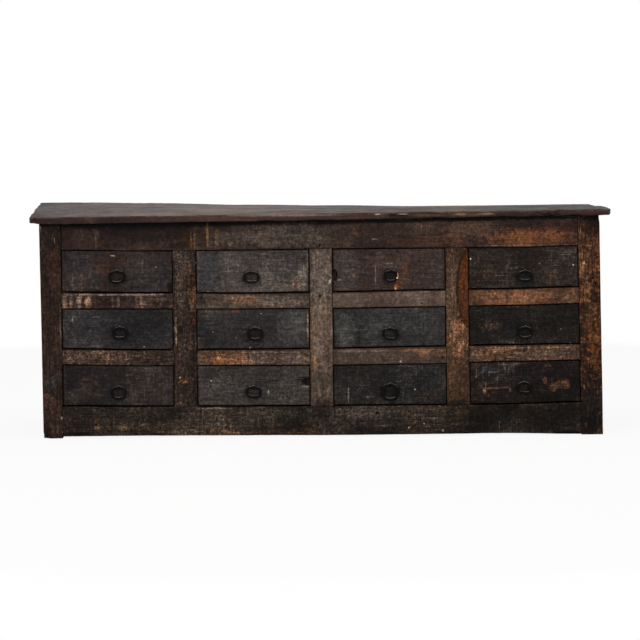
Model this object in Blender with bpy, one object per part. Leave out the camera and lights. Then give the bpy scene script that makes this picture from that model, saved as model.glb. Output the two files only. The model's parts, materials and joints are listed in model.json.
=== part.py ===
# Rustic bank of drawers: three rows of four drawers, each with an iron ring pull.
# Metres, +Z up. The front faces -Y and the origin is on the floor under the middle.
# r1 is the top row and c1 the left column, as seen from the front.

import math

import bmesh
import bpy
from mathutils import Matrix

# Face frame
column_widths = (0.449, 0.4585, 0.4595, 0.449)  # drawer openings, left to right
row_heights = (0.170, 0.162, 0.1665)  # drawer openings, top row first
post_width = 0.085
post_depth = 0.060
divider_width = 0.092
frame_thickness = 0.036
drawer_rail_height = 0.0675
top_rail_height = 0.119
bottom_rail_height = 0.118
bottom_rail_lift = 0.0115
arris = 0.002  # chamfer worn on the edges that hands and feet reach

# Joinery
clearance = 0.0003
tenon_shoulder = 0.010
rail_tenon = 0.040
divider_tenon = 0.025
stub_tenon = 0.014
end_tenon = 0.025
end_tenon_shoulder = 0.007

# Top
top_thickness = 0.027
front_board_depth = 0.340
back_board_depth = 0.200
front_overhang = 0.030
end_overhang = 0.033
back_overhang = 0.008
short_end = 0.020  # the back board stops this much short at the right
top_rounding = 0.006
top_rounding_steps = 2

# Ends, partitions, runners and back
end_rail_thickness = 0.030
end_panel_thickness = 0.016
end_panel_recess = 0.007
end_panel_rebate = 0.010  # the panel goes this far into the top rail from the inside
end_setback = 0.001  # rails and panel stand this far inside the posts' faces
back_post_size = 0.060
partition_thickness = 0.022
partition_lift = 0.050
runner_reach = 0.018
runner_height = 0.024
guide_height = 0.030
back_thickness = 0.014
back_lift = 0.035
plank_groove = 0.004

# Drawers
side_gap = 0.002
top_gap = 0.0035
rest_gap = 0.0005
stop_gap = 0.0005  # the drawer sides stop this far from the back planks
front_thickness = 0.024
lap_thickness = 0.007
side_thickness = 0.014
side_drop = 0.004
back_board_thickness = 0.012
back_board_drop = 0.008
back_board_inset = 0.006
bottom_thickness = 0.008
bottom_lift = 0.010
bottom_groove = 0.007
tail_width = 0.024
tail_flare = 0.003
tail_centre_shares = (0.151, 0.384, 0.616, 0.849)
cut_overrun = 0.010

# Broken dovetail laps: side of the drawer, height of the break's middle, width and height
broken_laps = {
    "r1_c3": (-1, 0.066, 0.019, 0.044),
    "r3_c2": (1, 0.098, 0.030, 0.034),
}
break_outline_shares = ((0, -0.5), (0.75, -0.42), (1, -0.1), (0.8, 0.3), (0.45, 0.5), (0, 0.44))
break_bite = 0.001

# Iron pulls: a ring in the eye of a split staple
ring_wire = 0.008
ring_width = 0.066
ring_height = 0.050
large_ring = "r3_c3"
large_ring_wire = 0.0105
large_ring_width = 0.072
large_ring_height = 0.070
ring_power = 2.4  # 2 would be an ellipse, more is squarer
ring_points = 24
ring_sides_resolution = 2
staple_width = 0.008
staple_strip = 0.0025
staple_play = 0.0006
staple_reach = 0.0095  # from the drawer's face to the middle of the eye
staple_clinch = 0.018
staple_bed = 0.001
eye_arc_steps = 12

# Place of each staple in its opening: shares of the width and of the height
pull_place_shares = {
    "r1_c1": (0.50, 0.51), "r1_c2": (0.49, 0.46), "r1_c3": (0.515, 0.47), "r1_c4": (0.50, 0.44),
    "r2_c1": (0.52, 0.54), "r2_c2": (0.52, 0.50), "r2_c3": (0.505, 0.47), "r2_c4": (0.505, 0.475),
    "r3_c1": (0.50, 0.475), "r3_c2": (0.50, 0.46), "r3_c3": (0.505, 0.49), "r3_c4": (0.495, 0.515),
}

# Colours
front_colours = {
    "r1_c1": "322b29", "r1_c2": "463f3b", "r1_c3": "3d322e", "r1_c4": "2c2521",
    "r2_c1": "2c2929", "r2_c2": "33302e", "r2_c3": "333130", "r2_c4": "221d1c",
    "r3_c1": "2d2725", "r3_c2": "373330", "r3_c3": "272322", "r3_c4": "251e1b",
}
drawer_rail_colours = {
    "upper": ("463830", "56463c", "56483f", "634432"),
    "lower": ("47372e", "5d4738", "4c3d34", "4d3a2c"),
}
post_colours = {"left": "31251f", "right": "3f2a1d"}
divider_colours = ("382b24", "5c4c41", "4e3728")
top_rail_colour = "3d2d25"
bottom_rail_colour = "2d2822"
top_colour = "6e6966"
inner_wood_colour = "7a5f42"
drawer_wood_colour = "8a6d4b"
iron_colour = "23201f"
worn_wood_roughness = 0.55
raw_wood_roughness = 0.8
iron_roughness = 0.5

# Sizes that follow
carcass_width = 2 * post_width + sum(column_widths) + (len(column_widths) - 1) * divider_width
inner_heights = sum(row_heights) + (len(row_heights) - 1) * drawer_rail_height
post_height = bottom_rail_lift + bottom_rail_height + inner_heights + top_rail_height
top_depth = front_board_depth + clearance + back_board_depth
front_y = -top_depth / 2 + front_overhang
frame_back_y = front_y + frame_thickness
frame_middle_y = front_y + frame_thickness / 2
back_y = top_depth / 2 - back_overhang
back_inner_y = back_y - back_thickness
top_rail_bottom = post_height - top_rail_height
bottom_rail_top = bottom_rail_lift + bottom_rail_height


# Opening edges
def column_spans():
    spans = []
    left = -carcass_width / 2 + post_width
    for width in column_widths:
        spans.append((left, left + width))
        left += width + divider_width
    return spans


def row_spans():
    spans = []
    bottom = bottom_rail_top
    for height in reversed(row_heights):
        spans.insert(0, (bottom, bottom + height))
        bottom += height + drawer_rail_height
    return spans


columns = column_spans()
rows = row_spans()


# Scene and materials
def clear_scene():
    for obj in list(bpy.data.objects):
        bpy.data.objects.remove(obj)


def new_collection(name):
    collection = bpy.data.collections.new(name)
    bpy.context.scene.collection.children.link(collection)
    return collection


def linear_colour(hex_colour):
    channels = [int(hex_colour[i:i + 2], 16) / 255 for i in (0, 2, 4)]
    return [c / 12.92 if c <= 0.04045 else ((c + 0.055) / 1.055) ** 2.4 for c in channels] + [1]


def new_material(name, hex_colour, roughness, metallic=0):
    material = bpy.data.materials.new(name)
    material.use_nodes = True
    shader = material.node_tree.nodes["Principled BSDF"]
    shader.inputs["Base Color"].default_value = linear_colour(hex_colour)
    shader.inputs["Roughness"].default_value = roughness
    shader.inputs["Metallic"].default_value = metallic
    material.diffuse_color = linear_colour(hex_colour)
    return material


def paint(obj, hex_colour, roughness=worn_wood_roughness, metallic=0):
    obj.data.materials.clear()
    obj.data.materials.append(new_material(obj.name, hex_colour, roughness, metallic))


# Shapes
def link_piece(obj, location, parent=None):
    parts.objects.link(obj)
    obj.location = location
    obj.parent = parent
    return obj


def link_tool(obj, location, parent=None):
    tools.objects.link(obj)
    obj.location = location
    obj.parent = parent
    obj.hide_render = True
    obj.display_type = "WIRE"
    return obj


def box(name, size, worn_edges=None, wear=arris, segments=1):
    shape = bmesh.new()
    bmesh.ops.create_cube(shape, size=1, matrix=Matrix.Diagonal((*size, 1)))
    if worn_edges:
        edges = [edge for edge in shape.edges if worn_edges(edge)]
        bmesh.ops.bevel(shape, geom=edges, offset=wear, segments=segments, profile=0.5,
                        affect="EDGES", clamp_overlap=True)
    mesh = bpy.data.meshes.new(name)
    shape.to_mesh(mesh)
    shape.free()
    return bpy.data.objects.new(name, mesh)


def on_front(edge):
    return all(vertex.co.y < 0 for vertex in edge.verts)


def runs_along(edge, axis):
    first, second = edge.verts
    return abs(first.co[axis] - second.co[axis]) > 0


def plate(name, outlines, thickness, rotation):
    curve = bpy.data.curves.new(name, "CURVE")
    curve.dimensions = "2D"
    curve.fill_mode = "BOTH"
    curve.extrude = thickness / 2
    for outline in outlines:
        spline = curve.splines.new("POLY")
        spline.points.add(len(outline) - 1)
        spline.use_cyclic_u = True
        for point, (across, up) in zip(spline.points, outline):
            point.co = (across, up, 0, 1)
    return as_mesh(bpy.data.objects.new(name, curve), rotation)


def as_mesh(source, rotation):
    bpy.context.scene.collection.objects.link(source)
    evaluated = source.evaluated_get(bpy.context.evaluated_depsgraph_get())
    mesh = bpy.data.meshes.new_from_object(evaluated)
    name = source.name
    bpy.data.objects.remove(source)
    shape = bmesh.new()
    shape.from_mesh(mesh)
    bmesh.ops.remove_doubles(shape, verts=shape.verts, dist=clearance / 10)
    bmesh.ops.recalc_face_normals(shape, faces=shape.faces)
    shape.to_mesh(mesh)
    shape.free()
    mesh.materials.clear()
    obj = bpy.data.objects.new(name, mesh)
    obj.rotation_euler = rotation
    return obj


front_view = (math.pi / 2, 0, 0)  # the outline's across is X and its up is Z
side_view = (math.pi / 2, 0, math.pi / 2)  # the outline's across is Y and its up is Z


def boolean(obj, tool, operation):
    modifier = obj.modifiers.new(tool.name, "BOOLEAN")
    modifier.object = tool
    modifier.operation = operation


def grown(size, margin):
    return tuple(length + 2 * margin for length in size)


# A core bar, longer than its board, leaves a tenon at each end and cuts the mortises
def add_tenons(board, core_size, location, receivers):
    core = link_tool(box(board.name + "_tenons", core_size), location)
    boolean(board, core, "UNION")
    mortise = link_tool(box(board.name + "_mortises", grown(core_size, clearance)), location)
    for receiver in receivers:
        boolean(receiver, mortise, "DIFFERENCE")


# Face frame
def front_post(side):
    name = "front_post_left" if side < 0 else "front_post_right"
    location = (side * (carcass_width - post_width) / 2, front_y + post_depth / 2, post_height / 2)
    post = box(name, (post_width, post_depth, post_height),
               lambda edge: on_front(edge) and runs_along(edge, 2))
    paint(post, post_colours["left" if side < 0 else "right"])
    return link_piece(post, location)


def cross_rail(name, span, bottom, height, tenon, receivers, hex_colour):
    length = span[1] - span[0] - 2 * clearance
    location = ((span[0] + span[1]) / 2, frame_middle_y, bottom + height / 2)
    rail = box(name, (length, frame_thickness, height),
               lambda edge: on_front(edge) and runs_along(edge, 0))
    paint(rail, hex_colour)
    link_piece(rail, location)
    core_size = (length + 2 * tenon, frame_thickness - 2 * tenon_shoulder,
                 height - 2 * tenon_shoulder)
    add_tenons(rail, core_size, location, receivers)
    return rail


def divider(number, receivers):
    length = top_rail_bottom - bottom_rail_top - 2 * clearance
    location = (columns[number][1] + divider_width / 2, frame_middle_y,
                (top_rail_bottom + bottom_rail_top) / 2)
    upright = box(f"divider_{number + 1}", (divider_width, frame_thickness, length),
                  lambda edge: on_front(edge) and runs_along(edge, 2))
    paint(upright, divider_colours[number])
    link_piece(upright, location)
    core_size = (divider_width - 2 * tenon_shoulder, frame_thickness - 2 * tenon_shoulder,
                 length + 2 * divider_tenon)
    add_tenons(upright, core_size, location, receivers)
    return upright


def drawer_rails(uprights):
    for tier, row in (("upper", 1), ("lower", 2)):
        for number, span in enumerate(columns):
            receivers = (uprights[number], uprights[number + 1])
            cross_rail(f"drawer_rail_{tier}_{number + 1}", span, rows[row][1],
                       drawer_rail_height, stub_tenon, receivers,
                       drawer_rail_colours[tier][number])


def face_frame():
    posts = [front_post(-1), front_post(1)]
    inner_span = (columns[0][0], columns[-1][1])
    top_rail = cross_rail("top_rail", inner_span, top_rail_bottom, top_rail_height, rail_tenon,
                          posts, top_rail_colour)
    bottom_rail = cross_rail("bottom_rail", inner_span, bottom_rail_lift, bottom_rail_height,
                             rail_tenon, posts, bottom_rail_colour)
    dividers = [divider(number, (top_rail, bottom_rail)) for number in range(len(columns) - 1)]
    drawer_rails([posts[0], *dividers, posts[1]])
    return posts


# Steps of one side's guides and runners, going up, from the web at each drawer's level
def runner_steps(web, first_web, edge):
    steps = []
    below = first_web
    for bottom, _ in reversed(rows):
        steps += [
            (below, bottom - runner_height),
            (edge + runner_reach, bottom - runner_height),
            (edge + runner_reach, bottom),
            (edge, bottom),
            (edge, bottom + guide_height),
            (web, bottom + guide_height),
        ]
        below = web
    return steps


# Ends: rails, recessed panel, runners and the back post, measured inward from the outer face
def end_outline():
    panel_inner = end_panel_recess + end_panel_thickness
    rail_inner = end_setback + end_rail_thickness
    rail_top = post_height - end_setback
    return [
        (end_setback, bottom_rail_lift),
        (rail_inner, bottom_rail_lift),
        *runner_steps(panel_inner, rail_inner, post_width),
        (panel_inner, top_rail_bottom + end_panel_rebate),
        (rail_inner, top_rail_bottom + end_panel_rebate),
        (rail_inner, rail_top),
        (end_setback, rail_top),
        (end_setback, top_rail_bottom),
        (end_panel_recess, top_rail_bottom),
        (end_panel_recess, bottom_rail_top),
        (end_setback, bottom_rail_top),
    ]


def end_frame(side, post):
    name = "end_frame_left" if side < 0 else "end_frame_right"
    start_y = front_y + post_depth + clearance
    post_middle_y = back_inner_y - clearance - back_post_size / 2
    outline = [(side * (carcass_width / 2 - inward), up) for inward, up in end_outline()]
    frame = plate(name, [outline], post_middle_y - start_y, front_view)
    paint(frame, inner_wood_colour, raw_wood_roughness)
    link_piece(frame, (0, (start_y + post_middle_y) / 2, 0))
    back_post = box(name + "_back_post", (back_post_size, back_post_size, post_height))
    link_tool(back_post, (side * (carcass_width - back_post_size) / 2, post_middle_y,
                          post_height / 2))
    boolean(frame, back_post, "UNION")
    for label, low, high in (("top", top_rail_bottom, post_height),
                             ("bottom", bottom_rail_lift, bottom_rail_top)):
        end_rail_tenon(f"{name}_{label}", side, frame, post, low, high, start_y)
    return frame


def end_rail_tenon(name, side, frame, post, low, high, start_y):
    size = (end_rail_thickness - 2 * end_tenon_shoulder, 2 * end_tenon,
            high - low - 2 * tenon_shoulder)
    place = (side * (carcass_width / 2 - end_setback - end_rail_thickness / 2), start_y,
             (low + high) / 2)
    boolean(frame, link_tool(box(name + "_tenon", size), place), "UNION")
    mortise = link_tool(box(name + "_mortise", grown(size, clearance)), place)
    boolean(post, mortise, "DIFFERENCE")


# A partition behind each divider carries the runners of the drawers on both sides
def partition(number):
    web = partition_thickness / 2
    right_side = [(web, partition_lift), *runner_steps(web, web, divider_width / 2),
                  (web, post_height)]
    outline = right_side + [(-across, up) for across, up in reversed(right_side)]
    start_y = frame_back_y + clearance
    stop_y = back_inner_y - clearance
    board = plate(f"partition_{number + 1}", [outline], stop_y - start_y, front_view)
    paint(board, inner_wood_colour, raw_wood_roughness)
    middle_x = columns[number][1] + divider_width / 2
    return link_piece(board, (middle_x, (start_y + stop_y) / 2, 0))


# Back planks, two to a node, with a groove along their joint
def back_planks(name, low, high):
    middle = (low + high) / 2
    half = plank_groove / 2
    outline = [
        (back_inner_y, low),
        (back_y, low),
        (back_y, middle - half),
        (back_y - plank_groove, middle),
        (back_y, middle + half),
        (back_y, high),
        (back_inner_y, high),
    ]
    planks = plate(name, [outline], carcass_width, side_view)
    paint(planks, inner_wood_colour, raw_wood_roughness)
    return link_piece(planks, (0, 0, 0))


def top_boards():
    length = carcass_width + 2 * end_overhang
    middle_z = post_height + clearance + top_thickness / 2
    front_middle = -top_depth / 2 + front_board_depth / 2
    front_board = box("top_board_front", (length, front_board_depth, top_thickness),
                      lambda edge: on_front(edge) or runs_along(edge, 1),
                      top_rounding, top_rounding_steps)
    back_board = box("top_board_back", (length - short_end, back_board_depth, top_thickness),
                     lambda edge: not on_front(edge), top_rounding, top_rounding_steps)
    paint(front_board, top_colour)
    paint(back_board, top_colour)
    link_piece(front_board, (0, front_middle, middle_z))
    link_piece(back_board, (-short_end / 2, top_depth / 2 - back_board_depth / 2, middle_z))


# Comb of dovetails on the front end of a drawer side, going up; grow widens it for the sockets
def tail_comb(side_height, grow):
    tip = lap_thickness + clearance - grow
    base = front_thickness + clearance
    comb = []
    for share in tail_centre_shares:
        middle = share * side_height
        narrow = tail_width / 2 + grow
        wide = tail_width / 2 + tail_flare + grow
        comb += [(base, middle - narrow), (tip, middle - wide),
                 (tip, middle + wide), (base, middle + narrow)]
    return comb


def side_outline(side_height, end_y, grow=0):
    base = front_thickness + clearance
    return [(base, -grow), *tail_comb(side_height, grow), (base, side_height + grow),
            (end_y, side_height + grow), (end_y, -grow)]


# Split staple from the side: the eye, both legs through the front and their clinched ends
def staple_outlines(eye_radius):
    outer = eye_radius + staple_strip
    start = math.asin(staple_strip / outer)
    turn = 2 * math.pi - 2 * start
    arc = [start + turn * step / eye_arc_steps for step in range(eye_arc_steps + 1)]
    eye = [(outer * math.cos(a) - staple_reach, outer * math.sin(a)) for a in arc]
    inner_face = front_thickness - staple_bed
    legs = [
        (inner_face, -staple_strip),
        (inner_face, -staple_clinch),
        (inner_face + staple_strip, -staple_clinch),
        (inner_face + staple_strip, staple_clinch),
        (inner_face, staple_clinch),
        (inner_face, staple_strip),
    ]
    circle = [2 * math.pi * step / eye_arc_steps for step in range(eye_arc_steps)]
    hole = [(eye_radius * math.cos(a) - staple_reach, eye_radius * math.sin(a)) for a in circle]
    return [eye + legs, hole]


# Closed ring hanging from the hinge axis, in the plane of X and Z
def ring(name, width, height, wire, location, parent):
    half_width = (width - wire) / 2
    half_height = (height - wire) / 2
    curve = bpy.data.curves.new(name, "CURVE")
    curve.dimensions = "3D"
    curve.bevel_depth = wire / 2
    curve.bevel_resolution = ring_sides_resolution
    spline = curve.splines.new("POLY")
    spline.points.add(ring_points - 1)
    spline.use_cyclic_u = True
    for step, point in enumerate(spline.points):
        angle = 2 * math.pi * step / ring_points
        across = squared(math.sin(angle)) * half_width
        up = squared(math.cos(angle)) * half_height - half_height
        point.co = (across, 0, up, 1)
    obj = bpy.data.objects.new(name, curve)
    paint(obj, iron_colour, iron_roughness, 1)
    return link_piece(obj, location, parent)


def squared(value):
    return math.copysign(abs(value) ** (2 / ring_power), value)


# Drawer front: sockets for the tails, groove for the bottom, staple for the ring
def drawer_front(place, size, side_height, hinge, eye_radius, parent):
    length, height = size
    front = box("drawer_front_" + place, (length, front_thickness, height), on_front)
    paint(front, front_colours[place])
    link_piece(front, (0, front_thickness / 2, height / 2), parent)
    cut_sockets(front, place, length, side_height, parent)
    groove_size = (length - side_thickness + 2 * clearance, bottom_groove + cut_overrun,
                   bottom_thickness + 2 * clearance)
    groove = box(f"groove_{place}", groove_size)
    link_tool(groove, (0, front_thickness - bottom_groove + groove_size[1] / 2,
                       bottom_lift + bottom_thickness / 2), parent)
    boolean(front, groove, "DIFFERENCE")
    if place in broken_laps:
        break_lap(front, place, length, parent)
    staple = plate(f"staple_{place}", staple_outlines(eye_radius), staple_width, side_view)
    link_tool(staple, (hinge[0], 0, hinge[2]), parent)
    boolean(front, staple, "UNION")
    return front


def cut_sockets(front, place, length, side_height, parent):
    depth = side_thickness + clearance + cut_overrun
    end_y = front_thickness + cut_overrun
    for side in (-1, 1):
        middle_x = side * (length / 2 + cut_overrun - depth / 2)
        sockets = plate(f"sockets_{place}_{side}", [side_outline(side_height, end_y, clearance)],
                        depth, side_view)
        link_tool(sockets, (middle_x, 0, 0), parent)
        boolean(front, sockets, "DIFFERENCE")


def break_lap(front, place, length, parent):
    side, middle_z, width, height = broken_laps[place]
    edge = side * (length / 2)
    outline = [(edge - side * (across * (width + cut_overrun) - cut_overrun), middle_z + up * height)
               for across, up in break_outline_shares]
    depth = 2 * (lap_thickness + break_bite)
    notch = plate(f"broken_lap_{place}", [outline], depth, front_view)
    link_tool(notch, (0, 0, 0), parent)
    boolean(front, notch, "DIFFERENCE")


# Drawer box: two sides, back and bottom
def drawer_box(place, size, side_height, parent):
    length, _ = size
    end_y = back_inner_y - front_y - stop_gap
    back_middle_y = end_y - back_board_inset - back_board_thickness / 2
    inner_width = length - side_thickness
    bottom_start = front_thickness - bottom_groove + clearance
    bottom_stop = end_y - back_board_inset / 2
    body = box("drawer_box_" + place, (inner_width, bottom_stop - bottom_start, bottom_thickness))
    paint(body, drawer_wood_colour, raw_wood_roughness)
    link_piece(body, (0, (bottom_start + bottom_stop) / 2, bottom_lift + bottom_thickness / 2),
               parent)
    for side in (-1, 1):
        board = plate(f"side_{place}_{side}", [side_outline(side_height, end_y)], side_thickness,
                      side_view)
        link_tool(board, (side * (length - side_thickness) / 2, 0, 0), parent)
        boolean(body, board, "UNION")
    back_low = bottom_lift + bottom_thickness / 2
    back_high = side_height - back_board_drop
    back = box(f"back_{place}", (inner_width, back_board_thickness, back_high - back_low))
    link_tool(back, (0, back_middle_y, (back_low + back_high) / 2), parent)
    boolean(body, back, "UNION")
    return body


def drawer(row, column):
    place = f"r{row + 1}_c{column + 1}"
    left, right = columns[column]
    bottom, top = rows[row]
    size = (right - left - 2 * side_gap, top - bottom - top_gap - rest_gap)
    side_height = size[1] - side_drop
    holder = bpy.data.objects.new("drawer_" + place, None)
    link_piece(holder, ((left + right) / 2, front_y, bottom + rest_gap))
    large = place == large_ring
    wire = large_ring_wire if large else ring_wire
    share_x, share_z = pull_place_shares[place]
    hinge = ((share_x - 0.5) * (right - left), -staple_reach, share_z * (top - bottom) - rest_gap)
    drawer_front(place, size, side_height, hinge, wire / 2 + staple_play, holder)
    drawer_box(place, size, side_height, holder)
    ring("ring_" + place, large_ring_width if large else ring_width,
         large_ring_height if large else ring_height, wire, hinge, holder)


def build():
    posts = face_frame()
    end_frame(-1, posts[0])
    end_frame(1, posts[1])
    for number in range(len(columns) - 1):
        partition(number)
    back_middle = (back_lift + post_height) / 2
    back_planks("back_planks_lower", back_lift, back_middle - clearance)
    back_planks("back_planks_upper", back_middle, post_height)
    top_boards()
    for row in range(len(rows)):
        for column in range(len(columns)):
            drawer(row, column)


clear_scene()
parts = new_collection("chest_of_drawers")
tools = new_collection("cutters")
build()
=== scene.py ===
import json
import math
import random

import bmesh
import bpy
import numpy as np
from mathutils import Matrix, Vector


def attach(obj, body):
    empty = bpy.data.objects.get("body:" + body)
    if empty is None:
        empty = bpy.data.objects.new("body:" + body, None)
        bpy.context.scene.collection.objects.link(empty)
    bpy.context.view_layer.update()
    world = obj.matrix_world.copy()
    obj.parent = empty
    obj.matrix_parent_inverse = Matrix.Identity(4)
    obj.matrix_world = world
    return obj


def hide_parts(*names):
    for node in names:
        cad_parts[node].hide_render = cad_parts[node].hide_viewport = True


# Rustic counter of twelve drawers: worn dark paint over brown wood, iron rings in staples
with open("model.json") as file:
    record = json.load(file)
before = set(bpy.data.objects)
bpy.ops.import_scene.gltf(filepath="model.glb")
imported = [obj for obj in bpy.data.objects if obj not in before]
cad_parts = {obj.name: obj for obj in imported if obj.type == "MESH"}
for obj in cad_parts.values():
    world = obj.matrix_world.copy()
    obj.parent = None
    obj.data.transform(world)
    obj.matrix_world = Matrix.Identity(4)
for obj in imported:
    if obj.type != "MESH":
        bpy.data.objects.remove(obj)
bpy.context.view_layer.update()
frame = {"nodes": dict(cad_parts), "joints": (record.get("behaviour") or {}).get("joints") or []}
print("frame loaded:", len(frame["nodes"]), "nodes")


# Camera, fitted to the edges of the face frame and of the top
view = {
    "place": (-0.082, -11.663, 1.778),
    "yaw": 0.386,  # degrees to the right
    "pitch": 6.504,  # degrees down
    "roll": 0.37,
    "lens": 160.2,  # mm
    "sensor": 36,
    "pixels": 640,
}


def viewAxes():
    yaw, pitch, roll = (math.radians(view[key]) for key in ("yaw", "pitch", "roll"))
    ahead = Vector((math.sin(yaw) * math.cos(pitch), math.cos(yaw) * math.cos(pitch), -math.sin(pitch)))
    level = Vector((math.cos(yaw), -math.sin(yaw), 0))
    below = ahead.cross(level)
    across = level * math.cos(roll) + below * math.sin(roll)
    down = below * math.cos(roll) - level * math.sin(roll)
    return across, down, ahead


def addObject(name, data):
    made = bpy.data.objects.new(name, data)
    bpy.context.scene.collection.objects.link(made)
    return made


def makeCamera():
    across, down, ahead = viewAxes()
    lens = bpy.data.cameras.new("camera")
    lens.lens = view["lens"]
    lens.sensor_width = view["sensor"]
    camera = addObject("camera", lens)
    rows = [(across[i], -down[i], -ahead[i], view["place"][i]) for i in range(3)]
    camera.matrix_world = Matrix((*rows, (0, 0, 0, 1)))
    bpy.context.scene.camera = camera


def lookAt(u, v):
    across, down, ahead = viewAxes()
    focal = view["lens"] / view["sensor"] * view["pixels"]
    middle = view["pixels"] / 2
    return ahead + across * ((u - middle) / focal) + down * ((v - middle) / focal)


# Where a pixel of the photograph meets the plane on which this axis has this level
def seenOn(u, v, axis, level):
    ray = lookAt(u, v)
    steps = (level - view["place"][axis]) / ray[axis]
    return [start + part * steps for start, part in zip(view["place"], ray)]


# On the face frame's front, as x and z
def onFront(u, v):
    x, _, z = seenOn(u, v, 1, layout["frontY"])
    return x, z


# On the top's upper surface, as x and y
def onTop(u, v):
    return seenOn(u, v, 2, layout["topZ"])[:2]


# Places of the boards, in metres, as in the frame
layout = {
    "frontY": -0.24015,
    "frameBackY": -0.20415,
    "postBackY": -0.18015,
    "backInnerY": 0.24815,
    "backY": 0.26215,
    "endX": 1.131,
    "postHeight": 0.882,
    "topZ": 0.9093,
    "topFrontY": -0.27015,
    "topBackY": 0.27015,
    "columns": ((-1.046, -0.597), (-0.505, -0.0465), (0.0455, 0.505), (0.597, 1.046)),
    "rows": ((0.593, 0.763), (0.3635, 0.5255), (0.1295, 0.296)),
    "railTops": (0.763, 0.593, 0.3635, 0.1295),
    "bottomRail": (0.0115, 0.1295),
    "pixel": 0.00409,  # metres that one pixel covers on the front
}

# The counter has sunk and leaned: how far each level has moved up, left end to right end, and how
# far its uprights have moved to the right at their tops and feet. The top and what carries it have
# also twisted, so their back edge is high at the left and low at the right
settling = {
    "across": (-1.05, -0.70, -0.30, 0.05, 0.40, 0.75, 1.05),
    "levels": (0.0, 0.0115, 0.1295, 0.296, 0.3635, 0.5255, 0.593, 0.763, 0.882),
    "rise": (
        (0.0, 0.0, 0.0, 0.0, 0.0, 0.0, 0.0),
        (-0.0038, -0.0032, -0.0045, -0.0066, -0.0052, -0.0032, -0.0088),
        (0.0000, -0.0035, -0.0060, -0.0057, -0.0060, -0.0043, 0.0020),
        (0.0064, 0.0000, -0.0011, -0.0027, -0.0006, 0.0068, 0.0106),
        (-0.0015, -0.0080, -0.0082, -0.0071, -0.0019, 0.0028, 0.0057),
        (0.0044, 0.0019, -0.0012, -0.0008, 0.0017, 0.0051, 0.0112),
        (-0.0008, -0.0055, -0.0097, -0.0077, -0.0025, 0.0010, 0.0070),
        (0.0046, -0.0009, -0.0004, 0.0021, 0.0031, 0.0022, 0.0087),
        (-0.0079, -0.0056, -0.0031, 0.0002, 0.0035, 0.0068, 0.0099),
    ),
    "backRise": (0.020, 0.014, 0.001, -0.007, -0.016, -0.018, -0.020),
    "twistFrom": 0.74,
    "leanAcross": (-1.13, -1.046, -0.60, -0.05, 0.50, 1.046, 1.13),
    "leanTop": (-0.0014, -0.0002, -0.0001, 0.0, -0.0048, -0.0115, -0.0095),
    "leanFoot": (0.0030, -0.0034, 0.0015, 0.0015, 0.0042, 0.0077, 0.0104),
}


def settled(points):
    across = np.array(settling["across"])
    levels = np.array(settling["levels"])
    rise = np.array(settling["rise"])
    x = np.clip(points[:, 0], across[0], across[-1])
    z = np.clip(points[:, 2], levels[0], levels[-1])
    column = np.clip(np.searchsorted(across, x) - 1, 0, len(across) - 2)
    level = np.clip(np.searchsorted(levels, z) - 1, 0, len(levels) - 2)
    s = (x - across[column]) / (across[column + 1] - across[column])
    t = (z - levels[level]) / (levels[level + 1] - levels[level])
    s, t = s * s * (3 - 2 * s), t * t * (3 - 2 * t)
    low = rise[level, column] * (1 - s) + rise[level, column + 1] * s
    high = rise[level + 1, column] * (1 - s) + rise[level + 1, column + 1] * s
    moved = points.copy()
    moved[:, 2] += low * (1 - t) + high * t
    back = np.array(settling["backRise"])
    back = back[column] * (1 - s) + back[column + 1] * s
    deep = (points[:, 1] - layout["frontY"]) / (layout["topBackY"] - layout["frontY"])
    lift = np.clip((z - settling["twistFrom"]) / (levels[-1] - settling["twistFrom"]), 0, 1)
    moved[:, 2] += back * deep * lift
    height = z / levels[-1]
    lean = np.interp(points[:, 0], settling["leanAcross"], settling["leanTop"]) * height
    lean += np.interp(points[:, 0], settling["leanAcross"], settling["leanFoot"]) * (1 - height)
    moved[:, 0] += np.where(points[:, 2] > layout["postHeight"] + 0.0001, 0, lean)
    return moved


# Smooth unevenness from -1 to 1 with bumps about size metres long
def uneven(points, size, seed):
    dice = random.Random(seed)
    total = np.zeros(len(points))
    for _ in range(9):
        direction = Vector((dice.gauss(0, 1), dice.gauss(0, 1), dice.gauss(0, 1))).normalized()
        pace = 2 * math.pi / (size * dice.uniform(0.8, 2.6))
        total += np.sin(points @ np.array(direction) * pace + dice.uniform(0, 6.28))
    return np.clip(total / 4.2, -1, 1)


# Grid lines from low to high, crowded at both ends where the arris is rounded
def gridLines(low, high, step, arris):
    length = high - low
    edge = min(arris, length * 0.3)
    near = [low, low + edge * 0.3, low + edge * 0.65, low + edge * 1.1]
    far = [low + high - value for value in reversed(near)]
    count = max(1, round((far[0] - near[-1]) / step))
    middle = [near[-1] + (far[0] - near[-1]) * i / count for i in range(1, count)]
    return np.array(near + middle + far)


def newObject(name, points, faces):
    mesh = bpy.data.meshes.new(name)
    mesh.from_pydata(points.tolist() if hasattr(points, "tolist") else points, [], faces)
    mesh.validate()
    mesh.update()
    mesh.shade_smooth()
    return addObject(name, mesh)


def shapeObject(name, shape, closed=True):
    if closed:
        bmesh.ops.recalc_face_normals(shape, faces=shape.faces)
    mesh = bpy.data.meshes.new(name)
    shape.to_mesh(mesh)
    shape.free()
    return addObject(name, mesh)


# Four-sided faces round a tube of rings of points; a closed tube joins its last ring to its first
def tubeFaces(rings, sides, closed):
    faces = []
    for i in range(rings if closed else rings - 1):
        near, far = i * sides, (i + 1) % rings * sides
        for j in range(sides):
            k = (j + 1) % sides
            faces.append((near + j, near + k, far + k, far + j))
    return faces


boardWear = {
    "edgeReach": 0.012,  # the "edge" value of a point is 1 on an arris and 0 from here in
    "leastRadius": 0.0006,
    "mostRadius": 0.45,  # of the board's thickness
    "biteReach": 0.10,  # how far from its end a broken lap draws the board in
}


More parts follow.
